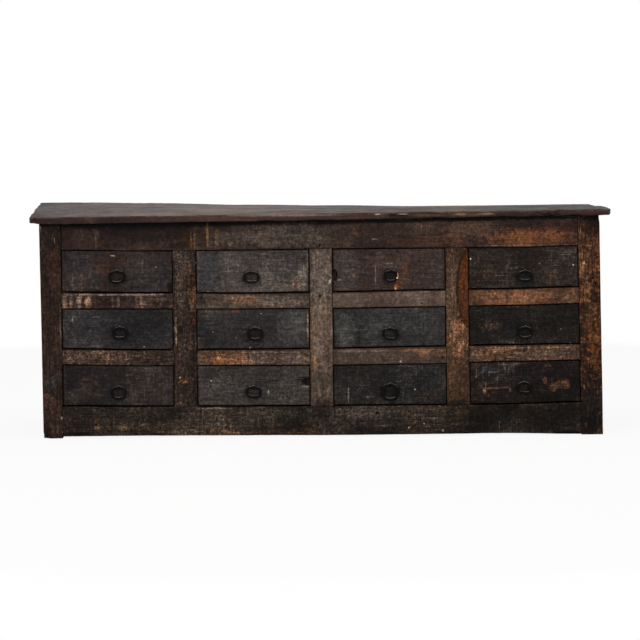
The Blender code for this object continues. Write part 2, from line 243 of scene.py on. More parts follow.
# Worn board between two corners: its arrises are rubbed unevenly round and its faces aren't flat.
# dents are (place, radius, depth); bites are (end, height, width, height) broken out of an end
def wornBoard(name, low, high, arris=0.003, step=0.008, seed=0, wave=0.0004, rough=0.5, dents=(), bites=()):
    low, high = np.array(low, float), np.array(high, float)
    lines = [gridLines(low[i], high[i], step, arris) for i in range(3)]
    for _, level, _, height in bites:
        extra = np.linspace(level - height * 0.7, level + height * 0.7, 15)
        lines[2] = np.unique(np.round(np.concatenate([lines[2], extra]), 5))
    counts = [len(line) for line in lines]
    index = -np.ones(counts, int)
    grid = np.stack(np.meshgrid(*lines, indexing="ij"), -1)
    skin = np.zeros(counts, bool)
    sides = {(axis, end): tuple(end if i == axis else slice(None) for i in range(3))
             for axis in range(3) for end in (0, -1)}
    for side in sides.values():
        skin[side] = True
    index[skin] = np.arange(skin.sum())
    points = grid[skin]
    faces = []
    for (axis, end), side in sides.items():
        sheet = index[side]
        quads = np.stack([sheet[:-1, :-1], sheet[1:, :-1], sheet[1:, 1:], sheet[:-1, 1:]], -1).reshape(-1, 4)
        faces += (quads[:, ::-1] if (end == 0) == (axis != 1) else quads).tolist()
    order = np.sort(np.minimum(points - low, high - points), axis=1)
    edge = np.clip(1 - order[:, 1] / boardWear["edgeReach"], 0, 1)
    worn = arris * (1 + rough * (uneven(points, 0.09, seed) + 0.7 * uneven(points, 0.022, seed + 1)))
    most = (high - low).min() * boardWear["mostRadius"]
    radius = np.clip(worn, boardWear["leastRadius"], most)[:, None]
    core = np.clip(points, low + radius, high - radius)
    reach = points - core
    length = np.linalg.norm(reach, axis=1, keepdims=True)
    points = core + reach * np.where(length > 1e-9, radius / np.maximum(length, 1e-9), 0)
    outward = reach / np.maximum(length, 1e-9)
    waves = wave * uneven(points, 0.25, seed + 2) + wave * 0.35 * uneven(points, 0.03, seed + 3)
    points += outward * waves[:, None]
    for place, size, depth in dents:
        away = np.linalg.norm(points - np.array(place), axis=1) / size
        points -= outward * (depth * np.clip(1 - away * away, 0, 1) ** 1.5)[:, None]
    for side, level, width, height in bites:
        share = (points[:, 2] - level) / height
        bite = width * np.clip(3.2 - 7 * np.abs(share + 0.06), 0, 1) * (1 + 0.18 * uneven(points, 0.012, seed + 4))
        away = high[0] - points[:, 0] if side > 0 else points[:, 0] - low[0]
        points[:, 0] -= side * bite * np.clip(1 - away / boardWear["biteReach"], 0, 1)
    made = newObject(name, settled(points), faces)
    made.data.attributes.new("edge", "FLOAT", "POINT").data.foreach_set("value", edge.astype(np.float32))
    return made


def linearColour(hexColour):
    channels = [int(hexColour[i:i + 2], 16) / 255 for i in (0, 2, 4)]
    return [c / 12.92 if c <= 0.04045 else ((c + 0.055) / 1.055) ** 2.4 for c in channels] + [1]


# A shader node with its settings; links takes sockets or values for its inputs
def addNode(tree, kind, links, output=0, **settings):
    made = tree.nodes.new("ShaderNode" + kind)
    for key, value in settings.items():
        setattr(made, key, value)
    for key, value in links.items():
        if isinstance(value, bpy.types.NodeSocket):
            tree.links.new(value, made.inputs[key])
        else:
            made.inputs[key].default_value = value
    return made.outputs[output]


def newMaterial(name):
    material = bpy.data.materials.new(name)
    material.use_nodes = True
    return material, material.node_tree, material.node_tree.nodes["Principled BSDF"]


grainPaces = {  # waves a metre, along and across the fibres: a fibre shows about 7 mm wide, 90 mm long
    "x": (11, 150, 150),
    "y": (150, 11, 150),
    "z": (150, 150, 11),
}
rubPace = (150, 150, 14)  # upright rubbing, 7 mm wide and 70 mm long
crackPace = 0.45  # of the grain's: a crack shows up to 200 mm long
woodNoises = {  # what the noise lies on, waves a metre, detail, roughness and distortion
    "clouds": ("own", 4, 3, 0.55, 0),  # 250 mm
    "speckle": ("own", 72, 2.5, 1, 0),  # 14 mm
    "patches": ("own", 13, 6, 0.75, 0),  # 77 mm
    "grain": ("along", 1, 4, 0.8, 0.4),
    "rubs": ("upright", 1, 3, 0.75, 0),
    "cracks": ("slow", 1, 1.5, 0.6, 0),
    "ragged": ("own", 60, 5, 0.75, 0),  # 17 mm, frays the marks
}

agedWoodLook = {
    "grain": "x",
    "cool": "2a2c30",  # where the old dark finish is still thick
    "warm": "4a3a30",  # where it is thin over brown wood
    "warmShare": 0.5,
    "contrast": 1.0,  # of all the variation below
    "clouds": 2.4,  # soiled areas 250 to 30 mm wide
    "speckle": 4.4,  # specks 14 to 3 mm wide
    "fibre": 1.6,  # streaks along the grain
    "rub": 1.0,  # upright rubbing across it
    "cracks": 0.55,  # how dark the thin cracks along the grain are
    "worn": "8a5a38",  # bare wood where the finish is rubbed through
    "wornShare": 0.18,
    "pale": "9a8878",  # dry scratches and flecks
    "paleShare": 0.25,
    # Arrises lighter: worn wood and a painted highlight
    "edge": "8a6a50",
    "edgeRubAndLightShare": 0.25,
    "grimeAndShade": 0.6,  # dirt in the joints and along the arrises, and painted shade along them
    "roughness": 0.62,
    "shine": 0.08,
    "bump": 0.5,
    "marks": (),
    "marksOn": "front",
}
woodBumpHeight = 0.0015


edgeMarkDepth = 1 / 70  # how far behind its front arris a mark on the top's edge reaches, in metres


# Centre of a mark and how fast it fades each way. A mark on the top that is lower in the photograph
# than the top's front arris is on its edge
def markPlace(side, u, v, wide, tall):
    if side == "top":
        x, y = onTop(u, v)
        if y > layout["topFrontY"] + 0.004:
            x2, y2 = onTop(u + wide / 2, v - tall / 2)
            return (x, y, 0), (1 / abs(x2 - x), 1 / abs(y2 - y), 0)
    x, z = onFront(u, v)
    pace = (2 / (wide * layout["pixel"]), 0, 2 / (tall * layout["pixel"]))
    if side == "top":
        pace = (pace[0], 1 / edgeMarkDepth, pace[2])
    return (x, layout["topFrontY"], z), pace


# How far each point is from a mark's centre, where 1 is half the mark's width or height
def markDistance(tree, place, side, *spot):
    centre, pace = markPlace(side, *spot)
    links = {0: place, 1: pace, 2: tuple(-c * p for c, p in zip(centre, pace))}
    away = addNode(tree, "VectorMath", links, operation="MULTIPLY_ADD")
    return addNode(tree, "VectorMath", {0: away}, "Value", operation="LENGTH")


# Old hardwood, hand planed, stained and handled for decades. The eye sees broad dark and brown
# areas, specks, thin grain, rubbed through orange-brown patches, pale scratches and dirty joints;
# the arrises also carry painted shade and a painted highlight
def agedWood(name, seed, **changes):
    look = {**agedWoodLook, **changes}
    material, tree, surface = newMaterial(name)
    dice = random.Random(seed)
    soft = {"interpolation_type": "SMOOTHSTEP"}
    place = addNode(tree, "TexCoord", {}, "Object")
    shift = tuple(dice.uniform(-9, 9) for _ in range(3))
    own = addNode(tree, "VectorMath", {0: place, 1: shift}, operation="ADD")
    along = addNode(tree, "VectorMath", {0: own, 1: grainPaces[look["grain"]]}, operation="MULTIPLY")
    upright = addNode(tree, "VectorMath", {0: own, 1: rubPace}, operation="MULTIPLY")
    slow = addNode(tree, "VectorMath", {0: along, 1: (crackPace,) * 3}, operation="MULTIPLY")
    ground = {"own": own, "along": along, "upright": upright, "slow": slow}
    noises = {}
    for kind, (lies, pace, detail, rough, bend) in woodNoises.items():
        links = {"Vector": ground[lies], "Scale": pace, "Detail": detail, "Roughness": rough, "Distortion": bend}
        noises[kind] = addNode(tree, "TexNoise", links)
    clouds, speckle, patches, grain, rubs, cracks, ragged = noises.values()
    arris = addNode(tree, "Attribute", {}, "Fac", attribute_name="edge")

    # Two hues of the finish
    layers = []
    middle = 0.5 - 0.2 * (look["warmShare"] - 0.5)
    hue = addNode(tree, "Math", {0: patches, 1: 0.6, 2: clouds}, operation="MULTIPLY_ADD")
    share = addNode(tree, "MapRange", {0: hue, 1: middle + 0.14, 2: middle + 0.46}, **soft)
    layers.append((share, look["warm"]))
    # Bare wood, first where hands rub
    mixed = addNode(tree, "Math", {0: speckle, 1: 0.3, 2: patches}, operation="MULTIPLY_ADD")
    mixed = addNode(tree, "Math", {0: grain, 1: 0.25, 2: mixed}, operation="MULTIPLY_ADD")
    level = 0.95 - 0.34 * look["wornShare"]
    links = {0: mixed, 1: level - 0.04, 2: level + 0.07, 4: min(1, 0.25 + look["wornShare"] * 2)}
    layers.append((addNode(tree, "MapRange", links, **soft), look["worn"]))
    # Dry scratches, only in some places
    dry = addNode(tree, "Math", {0: rubs, 1: grain}, operation="MAXIMUM")
    dry = addNode(tree, "Math", {0: clouds, 1: 0.9, 2: dry}, operation="MULTIPLY_ADD")
    share = addNode(tree, "MapRange", {0: dry, 1: 1.10, 2: 1.32, 4: look["paleShare"]}, **soft)
    layers.append((share, look["pale"]))
    # Arrises lighter: rubbed wood and a painted highlight along them
    rub = addNode(tree, "Math", {0: patches, 1: 1.5, 2: arris}, operation="MULTIPLY_ADD")
    share = addNode(tree, "MapRange", {0: rub, 1: 1.50, 2: 1.75, 4: look["edgeRubAndLightShare"]}, **soft)
    layers.append((share, look["edge"]))
    # Marks: a solid of 2 gives a crisp outline, 1 a frayed one, and below 1 the mark is broken up
    broken = addNode(tree, "Math", {0: grain, 1: speckle}, operation="ADD")
    broken = addNode(tree, "Math", {0: broken, 1: 0.4}, operation="MULTIPLY")
    broken = addNode(tree, "Math", {0: patches, 1: 1.2, 2: broken}, operation="MULTIPLY_ADD")
    for hexColour, u, v, wide, tall, strength, solid in look["marks"]:
        away = markDistance(tree, place, look["marksOn"], u, v, wide, tall)
        fray, inner, outer = (0.25, 1.04, 1.22) if solid > 1 else (2.0, 1.55, 2.35)
        away = addNode(tree, "Math", {0: ragged, 1: fray, 2: away}, operation="MULTIPLY_ADD")
        inside = addNode(tree, "MapRange", {0: away, 1: outer, 2: inner, 4: strength}, **soft)
        if solid < 1:
            share = addNode(tree, "MapRange", {0: broken, 1: 0.86, 2: 1.14, 3: solid}, **soft)
            inside = addNode(tree, "Math", {0: inside, 1: share}, operation="MULTIPLY")
        layers.append((inside, hexColour))
    colour = linearColour(look["cool"])
    for share, hexColour in layers:
        colour = addNode(tree, "Mix", {0: share, 6: colour, 7: linearColour(hexColour)}, 2, data_type="RGBA")

    # Dirt, specks, grain and rubbing darken and lighten all of it; dirt and painted shade darken the arrises
    weights = [look["contrast"] * look[key] for key in ("clouds", "speckle", "fibre", "rub")]
    power = -0.5 * sum(weights)
    for value, weight in zip((clouds, speckle, grain, rubs), weights):
        power = addNode(tree, "Math", {0: value, 1: weight, 2: power}, operation="MULTIPLY_ADD")
    tone = addNode(tree, "Math", {0: power}, operation="EXPONENT")
    # Drying cracks run with the grain, here and there: thin bands round one level of a stretched noise
    crack = addNode(tree, "Math", {0: cracks, 1: 0.5, 2: 0.022}, operation="COMPARE")
    share = addNode(tree, "MapRange", {0: patches, 1: 0.50, 2: 0.58, 4: look["cracks"]}, **soft)
    crack = addNode(tree, "Math", {0: crack, 1: share}, operation="MULTIPLY")
    crack = addNode(tree, "Math", {0: 1.0, 1: crack}, operation="SUBTRACT")
    tone = addNode(tree, "Math", {0: tone, 1: crack}, operation="MULTIPLY")
    # Darker along every arris: dirt in the joints and painted shade, as in the gaps between boards
    arrisDirtAndShade = addNode(tree, "MapRange", {0: arris, 1: 0.62, 2: 0.98, 3: 1, 4: 1 - look["grimeAndShade"]}, **soft)
    tone = addNode(tree, "Math", {0: tone, 1: arrisDirtAndShade}, operation="MULTIPLY")
    colour = addNode(tree, "VectorMath", {0: colour, "Scale": tone}, operation="SCALE")
    tree.links.new(colour, surface.inputs["Base Color"])
    links = {0: patches, 1: 0.35, 2: 0.65, 3: look["roughness"] + 0.1, 4: look["roughness"] - 0.08}
    tree.links.new(addNode(tree, "MapRange", links, **soft), surface.inputs["Roughness"])
    surface.inputs["Specular IOR Level"].default_value = look["shine"]
    height = addNode(tree, "Math", {0: grain, 1: speckle}, operation="ADD")
    links = {"Height": height, "Strength": look["bump"], "Distance": woodBumpHeight}
    tree.links.new(addNode(tree, "Bump", links), surface.inputs["Normal"])
    return material


ironLook = {
    "dark": "080707",
    "scale": "151413",
    "rust": "2c1c14",
    # pale on upward faces: dust and a painted highlight
    "dustAndHighlight": "7a7672",
    "roughness": 0.7,
    "metallic": 0.3,  # scale and soot cover most of the metal
    "shine": 0.08,
    "blows": 160,  # waves a metre: hammer marks of 6 mm
    "grit": 700,  # and scale of 1.4 mm
    "bump": 0.6,
    "bumpHeight": 0.0006,
}


# Wrought iron, hammered hot and left black: forge scale, thin rust, and dust on whatever faces up, which is also a
# painted highlight on the upper sides
def wroughtIron(name, marks=()):
    material, tree, surface = newMaterial(name)
    place = addNode(tree, "TexCoord", {}, "Object")
    hammer = addNode(tree, "TexNoise", {"Vector": place, "Scale": ironLook["blows"], "Detail": 3})
    links = {"Vector": place, "Scale": ironLook["grit"], "Detail": 4, "Roughness": 0.7}
    scale = addNode(tree, "TexNoise", links)
    # Upward faces pale: dust and a painted highlight of light from above
    up = addNode(tree, "TexCoord", {}, "Normal")
    up = addNode(tree, "SeparateXYZ", {0: up}, 2)
    up = addNode(tree, "Math", {0: hammer, 1: 0.8, 2: up}, operation="MULTIPLY_ADD")
    layers = [
        (addNode(tree, "MapRange", {0: hammer, 1: 0.35, 2: 0.65}), ironLook["scale"]),
        (addNode(tree, "MapRange", {0: scale, 1: 0.56, 2: 0.72, 4: 0.5}), ironLook["rust"]),
        (addNode(tree, "MapRange", {0: up, 1: 1.0, 2: 1.3, 4: 0.9}), ironLook["dustAndHighlight"]),
    ]
    # Painted highlights, where a ring has them
    for hexColour, *spot in marks:
        away = markDistance(tree, place, "front", *spot)
        layers.append((addNode(tree, "MapRange", {0: away, 1: 1.3, 2: 0.7}), hexColour))
    colour = linearColour(ironLook["dark"])
    for share, hexColour in layers:
        colour = addNode(tree, "Mix", {0: share, 6: colour, 7: linearColour(hexColour)}, 2, data_type="RGBA")
    tree.links.new(colour, surface.inputs["Base Color"])
    surface.inputs["Metallic"].default_value = ironLook["metallic"]
    surface.inputs["Specular IOR Level"].default_value = ironLook["shine"]
    rough = ironLook["roughness"]
    share = addNode(tree, "MapRange", {0: scale, 1: 0.3, 2: 0.7, 3: rough - 0.1, 4: rough + 0.15})
    tree.links.new(share, surface.inputs["Roughness"])
    height = addNode(tree, "Math", {0: hammer, 1: 2.5, 2: scale}, operation="MULTIPLY_ADD")
    links = {"Height": height, "Strength": ironLook["bump"], "Distance": ironLook["bumpHeight"]}
    tree.links.new(addNode(tree, "Bump", links), surface.inputs["Normal"])
    return material


def wear(piece, material):
    piece.data.materials.clear()
    piece.data.materials.append(material)
    return piece


# Boards of the face frame: cool, warm, worn, wornShare, contrast, fibre and paleShare
frameBoards = {
    "front_post_left": ("281a15", "2f211b", "3e2c21", 0.10, 1.25, 2.6, 0.25),
    "front_post_right": ("1e140c", "362013", "4d3220", 0.35, 1.61, 2.0, 0.25),
    "divider_1": ("251c17", "32251f", "44362d", 0.15, 1.68, 2.0, 0.25),
    "divider_2": ("4e4137", "5e4d42", "73604f", 0.15, 1.00, 1.6, 0.25),
    "divider_3": ("3f2d1f", "513b2b", "5d4431", 0.25, 1.16, 2.0, 0.25),
    "top_rail": ("2a1e1c", "3c2e26", "543b2e", 0.10, 0.78, 1.6, 0.25),
    "bottom_rail": ("1e1814", "28201a", "362d26", 0.12, 1.71, 1.8, 0.08),
    "drawer_rail_upper_1": ("2c221e", "362924", "684f42", 0.15, 1.14, 2.4, 0.25),
    "drawer_rail_upper_2": ("3a302c", "463c35", "53443a", 0.10, 0.95, 1.8, 0.25),
    "drawer_rail_upper_3": ("5a4940", "625449", "6c5d54", 0.10, 0.81, 1.6, 0.25),
    "drawer_rail_upper_4": ("51372a", "614130", "6d4c38", 0.30, 0.80, 1.8, 0.25),
    "drawer_rail_lower_1": ("31241e", "3b2d25", "4f3b2f", 0.15, 1.56, 2.4, 0.25),
    "drawer_rail_lower_2": ("453226", "49392d", "604433", 0.10, 1.18, 2.4, 0.25),
    "drawer_rail_lower_3": ("453830", "4c3e35", "604c3d", 0.10, 0.74, 1.8, 0.25),
    "drawer_rail_lower_4": ("4a3729", "554032", "6f513b", 0.30, 1.32, 1.8, 0.25),
}


# Marks seen in the photograph: colour, middle in its pixels, width, height, strength, and how solid
frameMarks = {
    "front_post_left": (
        ("513b2b", 50, 402, 12, 20, 0.5, 0.6), ("3b2418", 52, 262, 14, 22, 0.4, 0.6),
        ("020201", 54, 228, 14, 14, 0.5, 0.9), ("070708", 51, 234, 26, 26, 0.8, 0.6),
        # The first mark below: painted shadow under the top's overhang
        ("040404", 52, 224.6, 34, 5.4, 1.0, 1), ("351c0c", 41.5, 270, 3, 70, 0.6, 0.0),
        ("321c0c", 43, 350, 3, 90, 0.5, 0.0), ("6e5640", 54.5, 240.5, 1.6, 5, 0.6, 1.0),
        ("56493e", 60.5, 326, 1.6, 38, 0.6, 0.5), ("373431", 52, 384, 13, 26, 0.7, 0.4),
        ("673d30", 46.5, 400, 4, 11, 0.7, 0.0), ("372619", 58.5, 412, 8, 9, 0.7, 0.2),
        ("b09a80", 62, 418, 2, 3, 0.45, 1.0), ("48453f", 58, 428, 2, 20, 0.5, 0.5),
        ("422d24", 52, 268, 12, 30, 0.4, 0.1),
    ),
    "front_post_right": (
        ("613821", 593, 330, 16, 40, 0.4, 0.6), ("462c20", 594, 247, 12, 14, 0.4, 0.9),
        ("070505", 592, 412, 24, 40, 0.6, 0.9), ("805638", 586, 291, 11, 26, 0.55, 0.5),
        # The second mark below: painted shadow under the top's overhang
        ("0d0806", 590, 221, 26, 14, 0.8, 0.5), ("020202", 590, 217.6, 26, 4.4, 1.0, 1),
        ("68442b", 581.5, 275, 4, 52, 0.6, 0.1), ("64381b", 597, 264, 7, 54, 0.6, 0.1),
        ("624937", 587.5, 277.5, 9, 12, 0.4, 0.4), ("482e16", 593, 278, 4, 5, 0.7, 0.6),
        ("37281a", 591, 311, 18, 10, 0.7, 0.4), ("693e19", 595, 342, 14, 74, 0.5, 0.0),
        ("0b0a05", 586, 306, 9, 8, 0.7, 0.5), ("0c0a08", 592, 408, 27, 56, 0.75, 0.95),
        ("050604", 595, 421, 18, 22, 0.75, 1), ("623f2a", 586, 425, 4, 6, 0.8, 0.4),
        ("060505", 590, 402, 24, 60, 0.5, 0.9), ("040404", 590, 426, 26, 18, 0.6, 1),
    ),
    "top_rail": (
        ("130806", 178, 246, 30, 8, 0.6, 0.9), ("130706", 112, 247, 30, 6, 0.6, 0.9),
        # The first mark below: painted shadow under the top's overhang
        ("0b0808", 140, 225, 100, 8, 0.7, 1), ("070503", 180, 245, 16, 6, 0.5, 0.9),
        ("411d06", 560, 226, 40, 7, 0.5, 0.6), ("69503e", 470, 230, 50, 16, 0.5, 0.6),
        ("32231d", 380, 236, 40, 16, 0.35, 0.8), ("6d6051", 270, 245, 24, 6, 0.5, 0.6),
        ("584d47", 236, 238, 44, 14, 0.5, 0.6), ("090505", 150, 232, 120, 22, 0.5, 0.9),
        # Below, down to the mark at 540: black bands along the rail's top, painted shadow under the top's overhang
        ("0c0909", 130, 227, 150, 7, 0.7, 0.8), ("030404", 100, 224.4, 150, 5.4, 1.0, 1),
        ("030201", 200, 224.0, 150, 5.2, 1.0, 1), ("030202", 290, 222.9, 150, 5, 1.0, 1),
        ("050504", 380, 221.0, 150, 3.9, 1.0, 1), ("070404", 460, 219.3, 140, 3.7, 1.0, 1),
        ("040202", 540, 217.7, 130, 3.6, 1.0, 1), ("050404", 578.3, 232, 1.5, 36, 0.9, 2),
        ("050404", 61.4, 237, 1.3, 32, 0.8, 2), ("311510", 82, 244, 40, 9, 0.45, 0.2),
        ("684633", 95.8, 241, 1.6, 15, 0.75, 0.4), ("130b0c", 110, 236, 24, 24, 0.6, 0.5),
        ("32150a", 132, 245, 28, 6, 0.45, 0.2), ("241007", 184, 240, 19, 22, 0.55, 0.3),
        ("7a4e30", 191, 240, 1.8, 18, 0.6, 0.4), ("7a5236", 194.5, 240, 2, 20, 0.6, 0.4),
        ("8a6446", 207.5, 236, 2.4, 23, 0.75, 0.5), ("6d5341", 217, 238, 5, 16, 0.65, 0.1),
        ("7e6859", 229.5, 243, 4, 5, 0.8, 0.3), ("695c54", 292, 236, 70, 24, 0.5, 0.5),
        ("473024", 355, 232, 14, 12, 0.5, 0.2), ("8a7660", 375, 239, 7, 1.5, 0.7, 0.8),
        ("3e2117", 412, 241, 44, 12, 0.5, 0.1), ("67432c", 450, 240, 42, 14, 0.55, 0.1),
        ("7c4c2f", 534, 237.5, 82, 19, 0.8, 0.45), ("794b2f", 534, 236, 50, 13, 0.5, 0.3),
        ("0d0908", 557, 223, 8, 7, 0.7, 0.5), ("9d7a66", 530, 245.3, 90, 1.4, 0.5, 0.3),
        # The second mark below: painted shadow under the top's overhang
        ("050404", 319.7, 245, 3, 3, 1.0, 1.0), ("020202", 118, 226, 120, 6, 0.7, 1),
        ("100a08", 150, 234, 90, 14, 0.4, 0.9),
    ),
    "bottom_rail": (
        ("493e31", 466, 424, 30, 5, 0.5, 0.7), ("473b31", 258, 424, 50, 6, 0.5, 0.7),
        ("453d38", 376, 424, 46, 6, 0.5, 0.7), ("0a0805", 512, 412, 18, 22, 0.5, 1),
        ("0e0a07", 572, 410, 40, 24, 0.7, 1), ("302521", 220, 416, 30, 14, 0.5, 0.9),
        ("262320", 180, 412, 24, 14, 0.5, 0.9), ("080607", 116, 416, 18, 10, 0.5, 0.9),
        ("040201", 510, 405, 16, 12, 0.6, 0.9), ("4c3e2b", 462, 412, 14, 20, 0.5, 0.6),
        ("1d1411", 416, 410, 26, 22, 0.6, 0.9), ("0e0a0b", 326, 414, 18, 24, 0.6, 0.9),
        ("564b43", 368, 412, 54, 16, 0.6, 0.7), ("4e443b", 266, 412, 70, 18, 0.6, 0.7),
        ("040302", 562, 416, 62, 28, 0.7, 0.9), ("3e2f1d", 139, 427.5, 62, 8, 0.4, 0.0),
        ("5e4330", 97.5, 426, 6, 13, 0.55, 0.2), ("563f2c", 165, 432, 30, 3, 0.5, 0.3),
        # The first mark below: a thin pale line on the rail's upper arris, wear and a painted highlight
        ("68584f", 217, 408.5, 36, 2, 0.6, 0.3), ("4c3420", 250, 431, 150, 4, 0.45, 0.2),
        ("b0a490", 424, 423.5, 1.44, 1.44, 0.68, 1.0), ("b0a490", 409, 427.5, 1.44, 1.44, 0.4, 1.0),
        ("050403", 525, 420, 114, 28, 0.7, 0.5), ("050404", 377.5, 412.7, 3.5, 3.5, 1.0, 1.0),
        ("050505", 566, 426, 36, 20, 0.5, 0.9), ("4a3d2f", 134, 427, 54, 7, 0.45, 0.1),
        ("4a3d2f", 162, 425.5, 15, 7, 0.4, 0.1), ("4a3222", 97.5, 423, 6, 16, 0.5, 0.4),
        # Both marks below: painted shadow under the rail's ends, beside the feet
        ("020202", 78, 433.8, 32, 3, 0.9, 1), ("020202", 568, 432.4, 34, 3, 0.9, 1),
        ("5e3d24", 290, 432.8, 120, 1.6, 0.6, 0.4), ("b0a088", 443, 430.4, 1.6, 2.6, 0.6, 1),
        ("6a6456", 499.5, 425, 1, 10, 0.25, 0.6),
    ),
    "divider_1": (
        ("6c5649", 188, 266, 12, 16, 0.5, 0.6), ("1e1b15", 190, 400, 14, 20, 0.5, 0.9),
        ("0c0705", 193, 330, 8, 40, 0.5, 0.9), ("604d42", 181, 285, 10, 56, 0.6, 0.6),
        ("603f29", 191.5, 290, 8, 44, 0.65, 0.15), ("493e39", 177, 275, 2, 40, 0.5, 0.2),
        ("a2826d", 176, 331, 2.2, 29, 0.6, 0.3), ("623a27", 194, 322, 3.5, 6, 0.7, 0.4),
        ("533722", 185, 380.5, 18, 6, 0.6, 0.2), ("c8b8a4", 180, 377.5, 1.58, 1.58, 0.72, 1.0),
        ("352514", 185, 395, 15, 16, 0.45, 0.0), ("040507", 188, 405, 10, 8, 0.6, 0.6),
        ("50443c", 183, 256, 22, 14, 0.5, 0.4),
    ),
    "divider_2": (
        ("8d7867", 322, 300, 14, 30, 0.4, 0.7), ("312521", 327, 345, 8, 40, 0.5, 1),
        ("27160e", 320, 257, 12, 14, 0.5, 0.2), ("c0b09c", 329.5, 282, 2.5, 4, 0.85, 1.0),
        ("060505", 320, 296, 4, 4.5, 1.0, 1.0), ("745844", 314, 335, 2.6, 50, 0.5, 0.5),
        ("9c6941", 315, 362, 3, 20, 0.7, 0.5), ("9d8a7e", 321, 275, 22, 44, 0.4, 0.5),
        ("181110", 322, 403.5, 24, 9, 0.7, 0.9),
    ),
    "divider_3": (
        ("654f42", 451, 290, 12, 80, 0.5, 0.4), ("b57f5a", 460, 337, 18, 38, 0.6, 0.2),
        ("150d07", 469, 288, 25, 77, 0.9, 2), ("502b14", 469, 288, 21, 73, 1.0, 2),
        ("3d2316", 466, 304, 12, 24, 0.6, 0.8), ("1a120e", 456, 273, 2, 5, 0.8, 0.8),
        ("140a06", 454.5, 283, 4, 4, 0.7, 0.6), ("201108", 456.5, 293, 2, 6, 0.8, 0.8),
        ("2a1d15", 459, 317.5, 5, 3, 0.8, 0.8), ("261d14", 458, 408, 24, 16, 0.6, 0.5),
        ("362013", 455, 372, 12, 40, 0.45, 0.0), ("100d0a", 457, 402.5, 24, 8, 0.6, 0.9),
    ),
    "drawer_rail_upper_1": (
        ("7a6253", 64.5, 301, 5, 15, 0.7, 0.3), ("856b5a", 71, 301, 4, 14, 0.5, 0.2),
        ("977e6c", 79, 301, 4.5, 15, 0.75, 0.3), ("9c785e", 88, 302, 7, 13, 0.8, 0.35),
        ("31221d", 102, 301, 19, 15, 0.75, 0.6), ("625042", 112.5, 301, 2.5, 14, 0.65, 0.3),
        ("937a6c", 118, 301, 3.5, 13, 0.65, 0.3), ("141112", 129, 302, 16, 14, 0.5, 0.5),
        ("624f3c", 141.5, 302, 4, 12, 0.65, 0.25), ("574534", 151, 302, 2.5, 12, 0.5, 0.2),
        # The second mark below: a thin pale line on the rail's upper arris, wear and a painted highlight
        ("0f0c0b", 161, 302, 16, 13, 0.5, 0.5), ("a28e84", 120, 294.6, 104, 1.8, 0.5, 0.3),
    ),
    "drawer_rail_upper_2": (
        ("0a0807", 200, 301, 9, 14, 0.6, 0.5), ("413021", 215, 301, 20, 13, 0.5, 0.2),
        ("7d573b", 244, 300, 30, 10, 0.6, 0.1), ("8f6a50", 250, 300, 14, 7, 0.4, 0.1),
        ("816e60", 285, 302, 44, 13, 0.4, 0.4), ("120c09", 203, 301, 12, 14, 0.6, 0.9),
    ),
    "drawer_rail_upper_3": (
        # The second mark below: a thin pale line on the rail's upper arris, wear and a painted highlight
        ("391d16", 438, 300, 18, 14, 0.5, 0.3), ("5f5751", 380, 294, 80, 1.6, 0.4, 0.2),
    ),
    "drawer_rail_upper_4": (
        ("503023", 566, 303, 20, 6, 0.5, 0.7), ("956642", 512, 298, 88, 14, 0.5, 0.2),
        ("543e2e", 559.5, 298, 8, 14, 0.7, 0.5), ("846049", 571.5, 298, 14, 13, 0.6, 0.2),
        ("241811", 507, 298, 1.4, 14, 0.8, 0.9),
    ),
    "drawer_rail_lower_1": (
        ("755c47", 94, 352, 22, 8, 0.5, 0.6), ("4d3620", 104, 359, 16, 9, 0.6, 0.15),
        ("6f4b3d", 107.5, 356, 6, 9, 0.75, 0.3), ("100c0a", 110, 355, 1.3, 9, 0.85, 1.0),
        ("371e10", 121.5, 357, 8, 12, 0.5, 0.2), ("6d544b", 146, 357, 9, 2, 0.5, 0.3),
        ("5c493b", 80, 357, 30, 12, 0.45, 0.4),
    ),
    "drawer_rail_lower_2": (
        ("2c2b25", 200.5, 358, 8, 14, 0.6, 0.6), ("834e28", 225, 358, 42, 14, 0.65, 0.2),
        ("cd8243", 222, 356, 30, 8, 0.4, 0.0), ("120c09", 248, 358, 1.4, 13, 0.85, 0.9),
        # The second mark below: a thin pale line on the rail's upper arris, wear and a painted highlight
        ("59504b", 280, 359, 54, 12, 0.5, 0.5), ("807063", 275, 352, 50, 1.6, 0.55, 0.3),
    ),
    "drawer_rail_lower_3": (
        # The second mark below: a thin pale line on the rail's upper arris, wear and a painted highlight
        ("76645b", 352, 350, 34, 5, 0.5, 0.7), ("7e6857", 367, 351, 66, 1.6, 0.6, 0.3),
        ("9c7046", 431, 353.5, 32, 8, 0.5, 0.15), ("a76c46", 424, 350.5, 48, 3, 0.65, 0.3),
        ("170f0b", 442.5, 357.5, 4, 4, 0.85, 0.8), ("c4b8a8", 400.5, 361.5, 1.58, 1.58, 0.72, 1.0),
    ),
    "drawer_rail_lower_4": (
        ("6f5743", 566, 349, 16, 4, 0.5, 0.6), ("cf8e65", 504, 349, 20, 4, 0.5, 0.6),
        ("956a47", 494, 350, 13, 7, 0.65, 0.25), ("685344", 535, 354, 50, 12, 0.5, 0.3),
        # The first mark below: a thin pale line on the rail's upper arris, wear and a painted highlight
        ("957053", 538, 347.5, 76, 1.8, 0.6, 0.4), ("453327", 569, 355, 18, 11, 0.6, 0.4),
    ),
}
openJoint = 0.0006  # between two boards, in metres
# Broken corners: place, radius and depth
boardDents = {
    "front_post_right": (((1.131, -0.240, 0.882), 0.026, 0.005),),
    "front_post_left": (((-1.131, -0.240, 0.0), 0.030, 0.006),),
    "divider_3": (((0.597, -0.240, 0.76), 0.020, 0.004),),
}


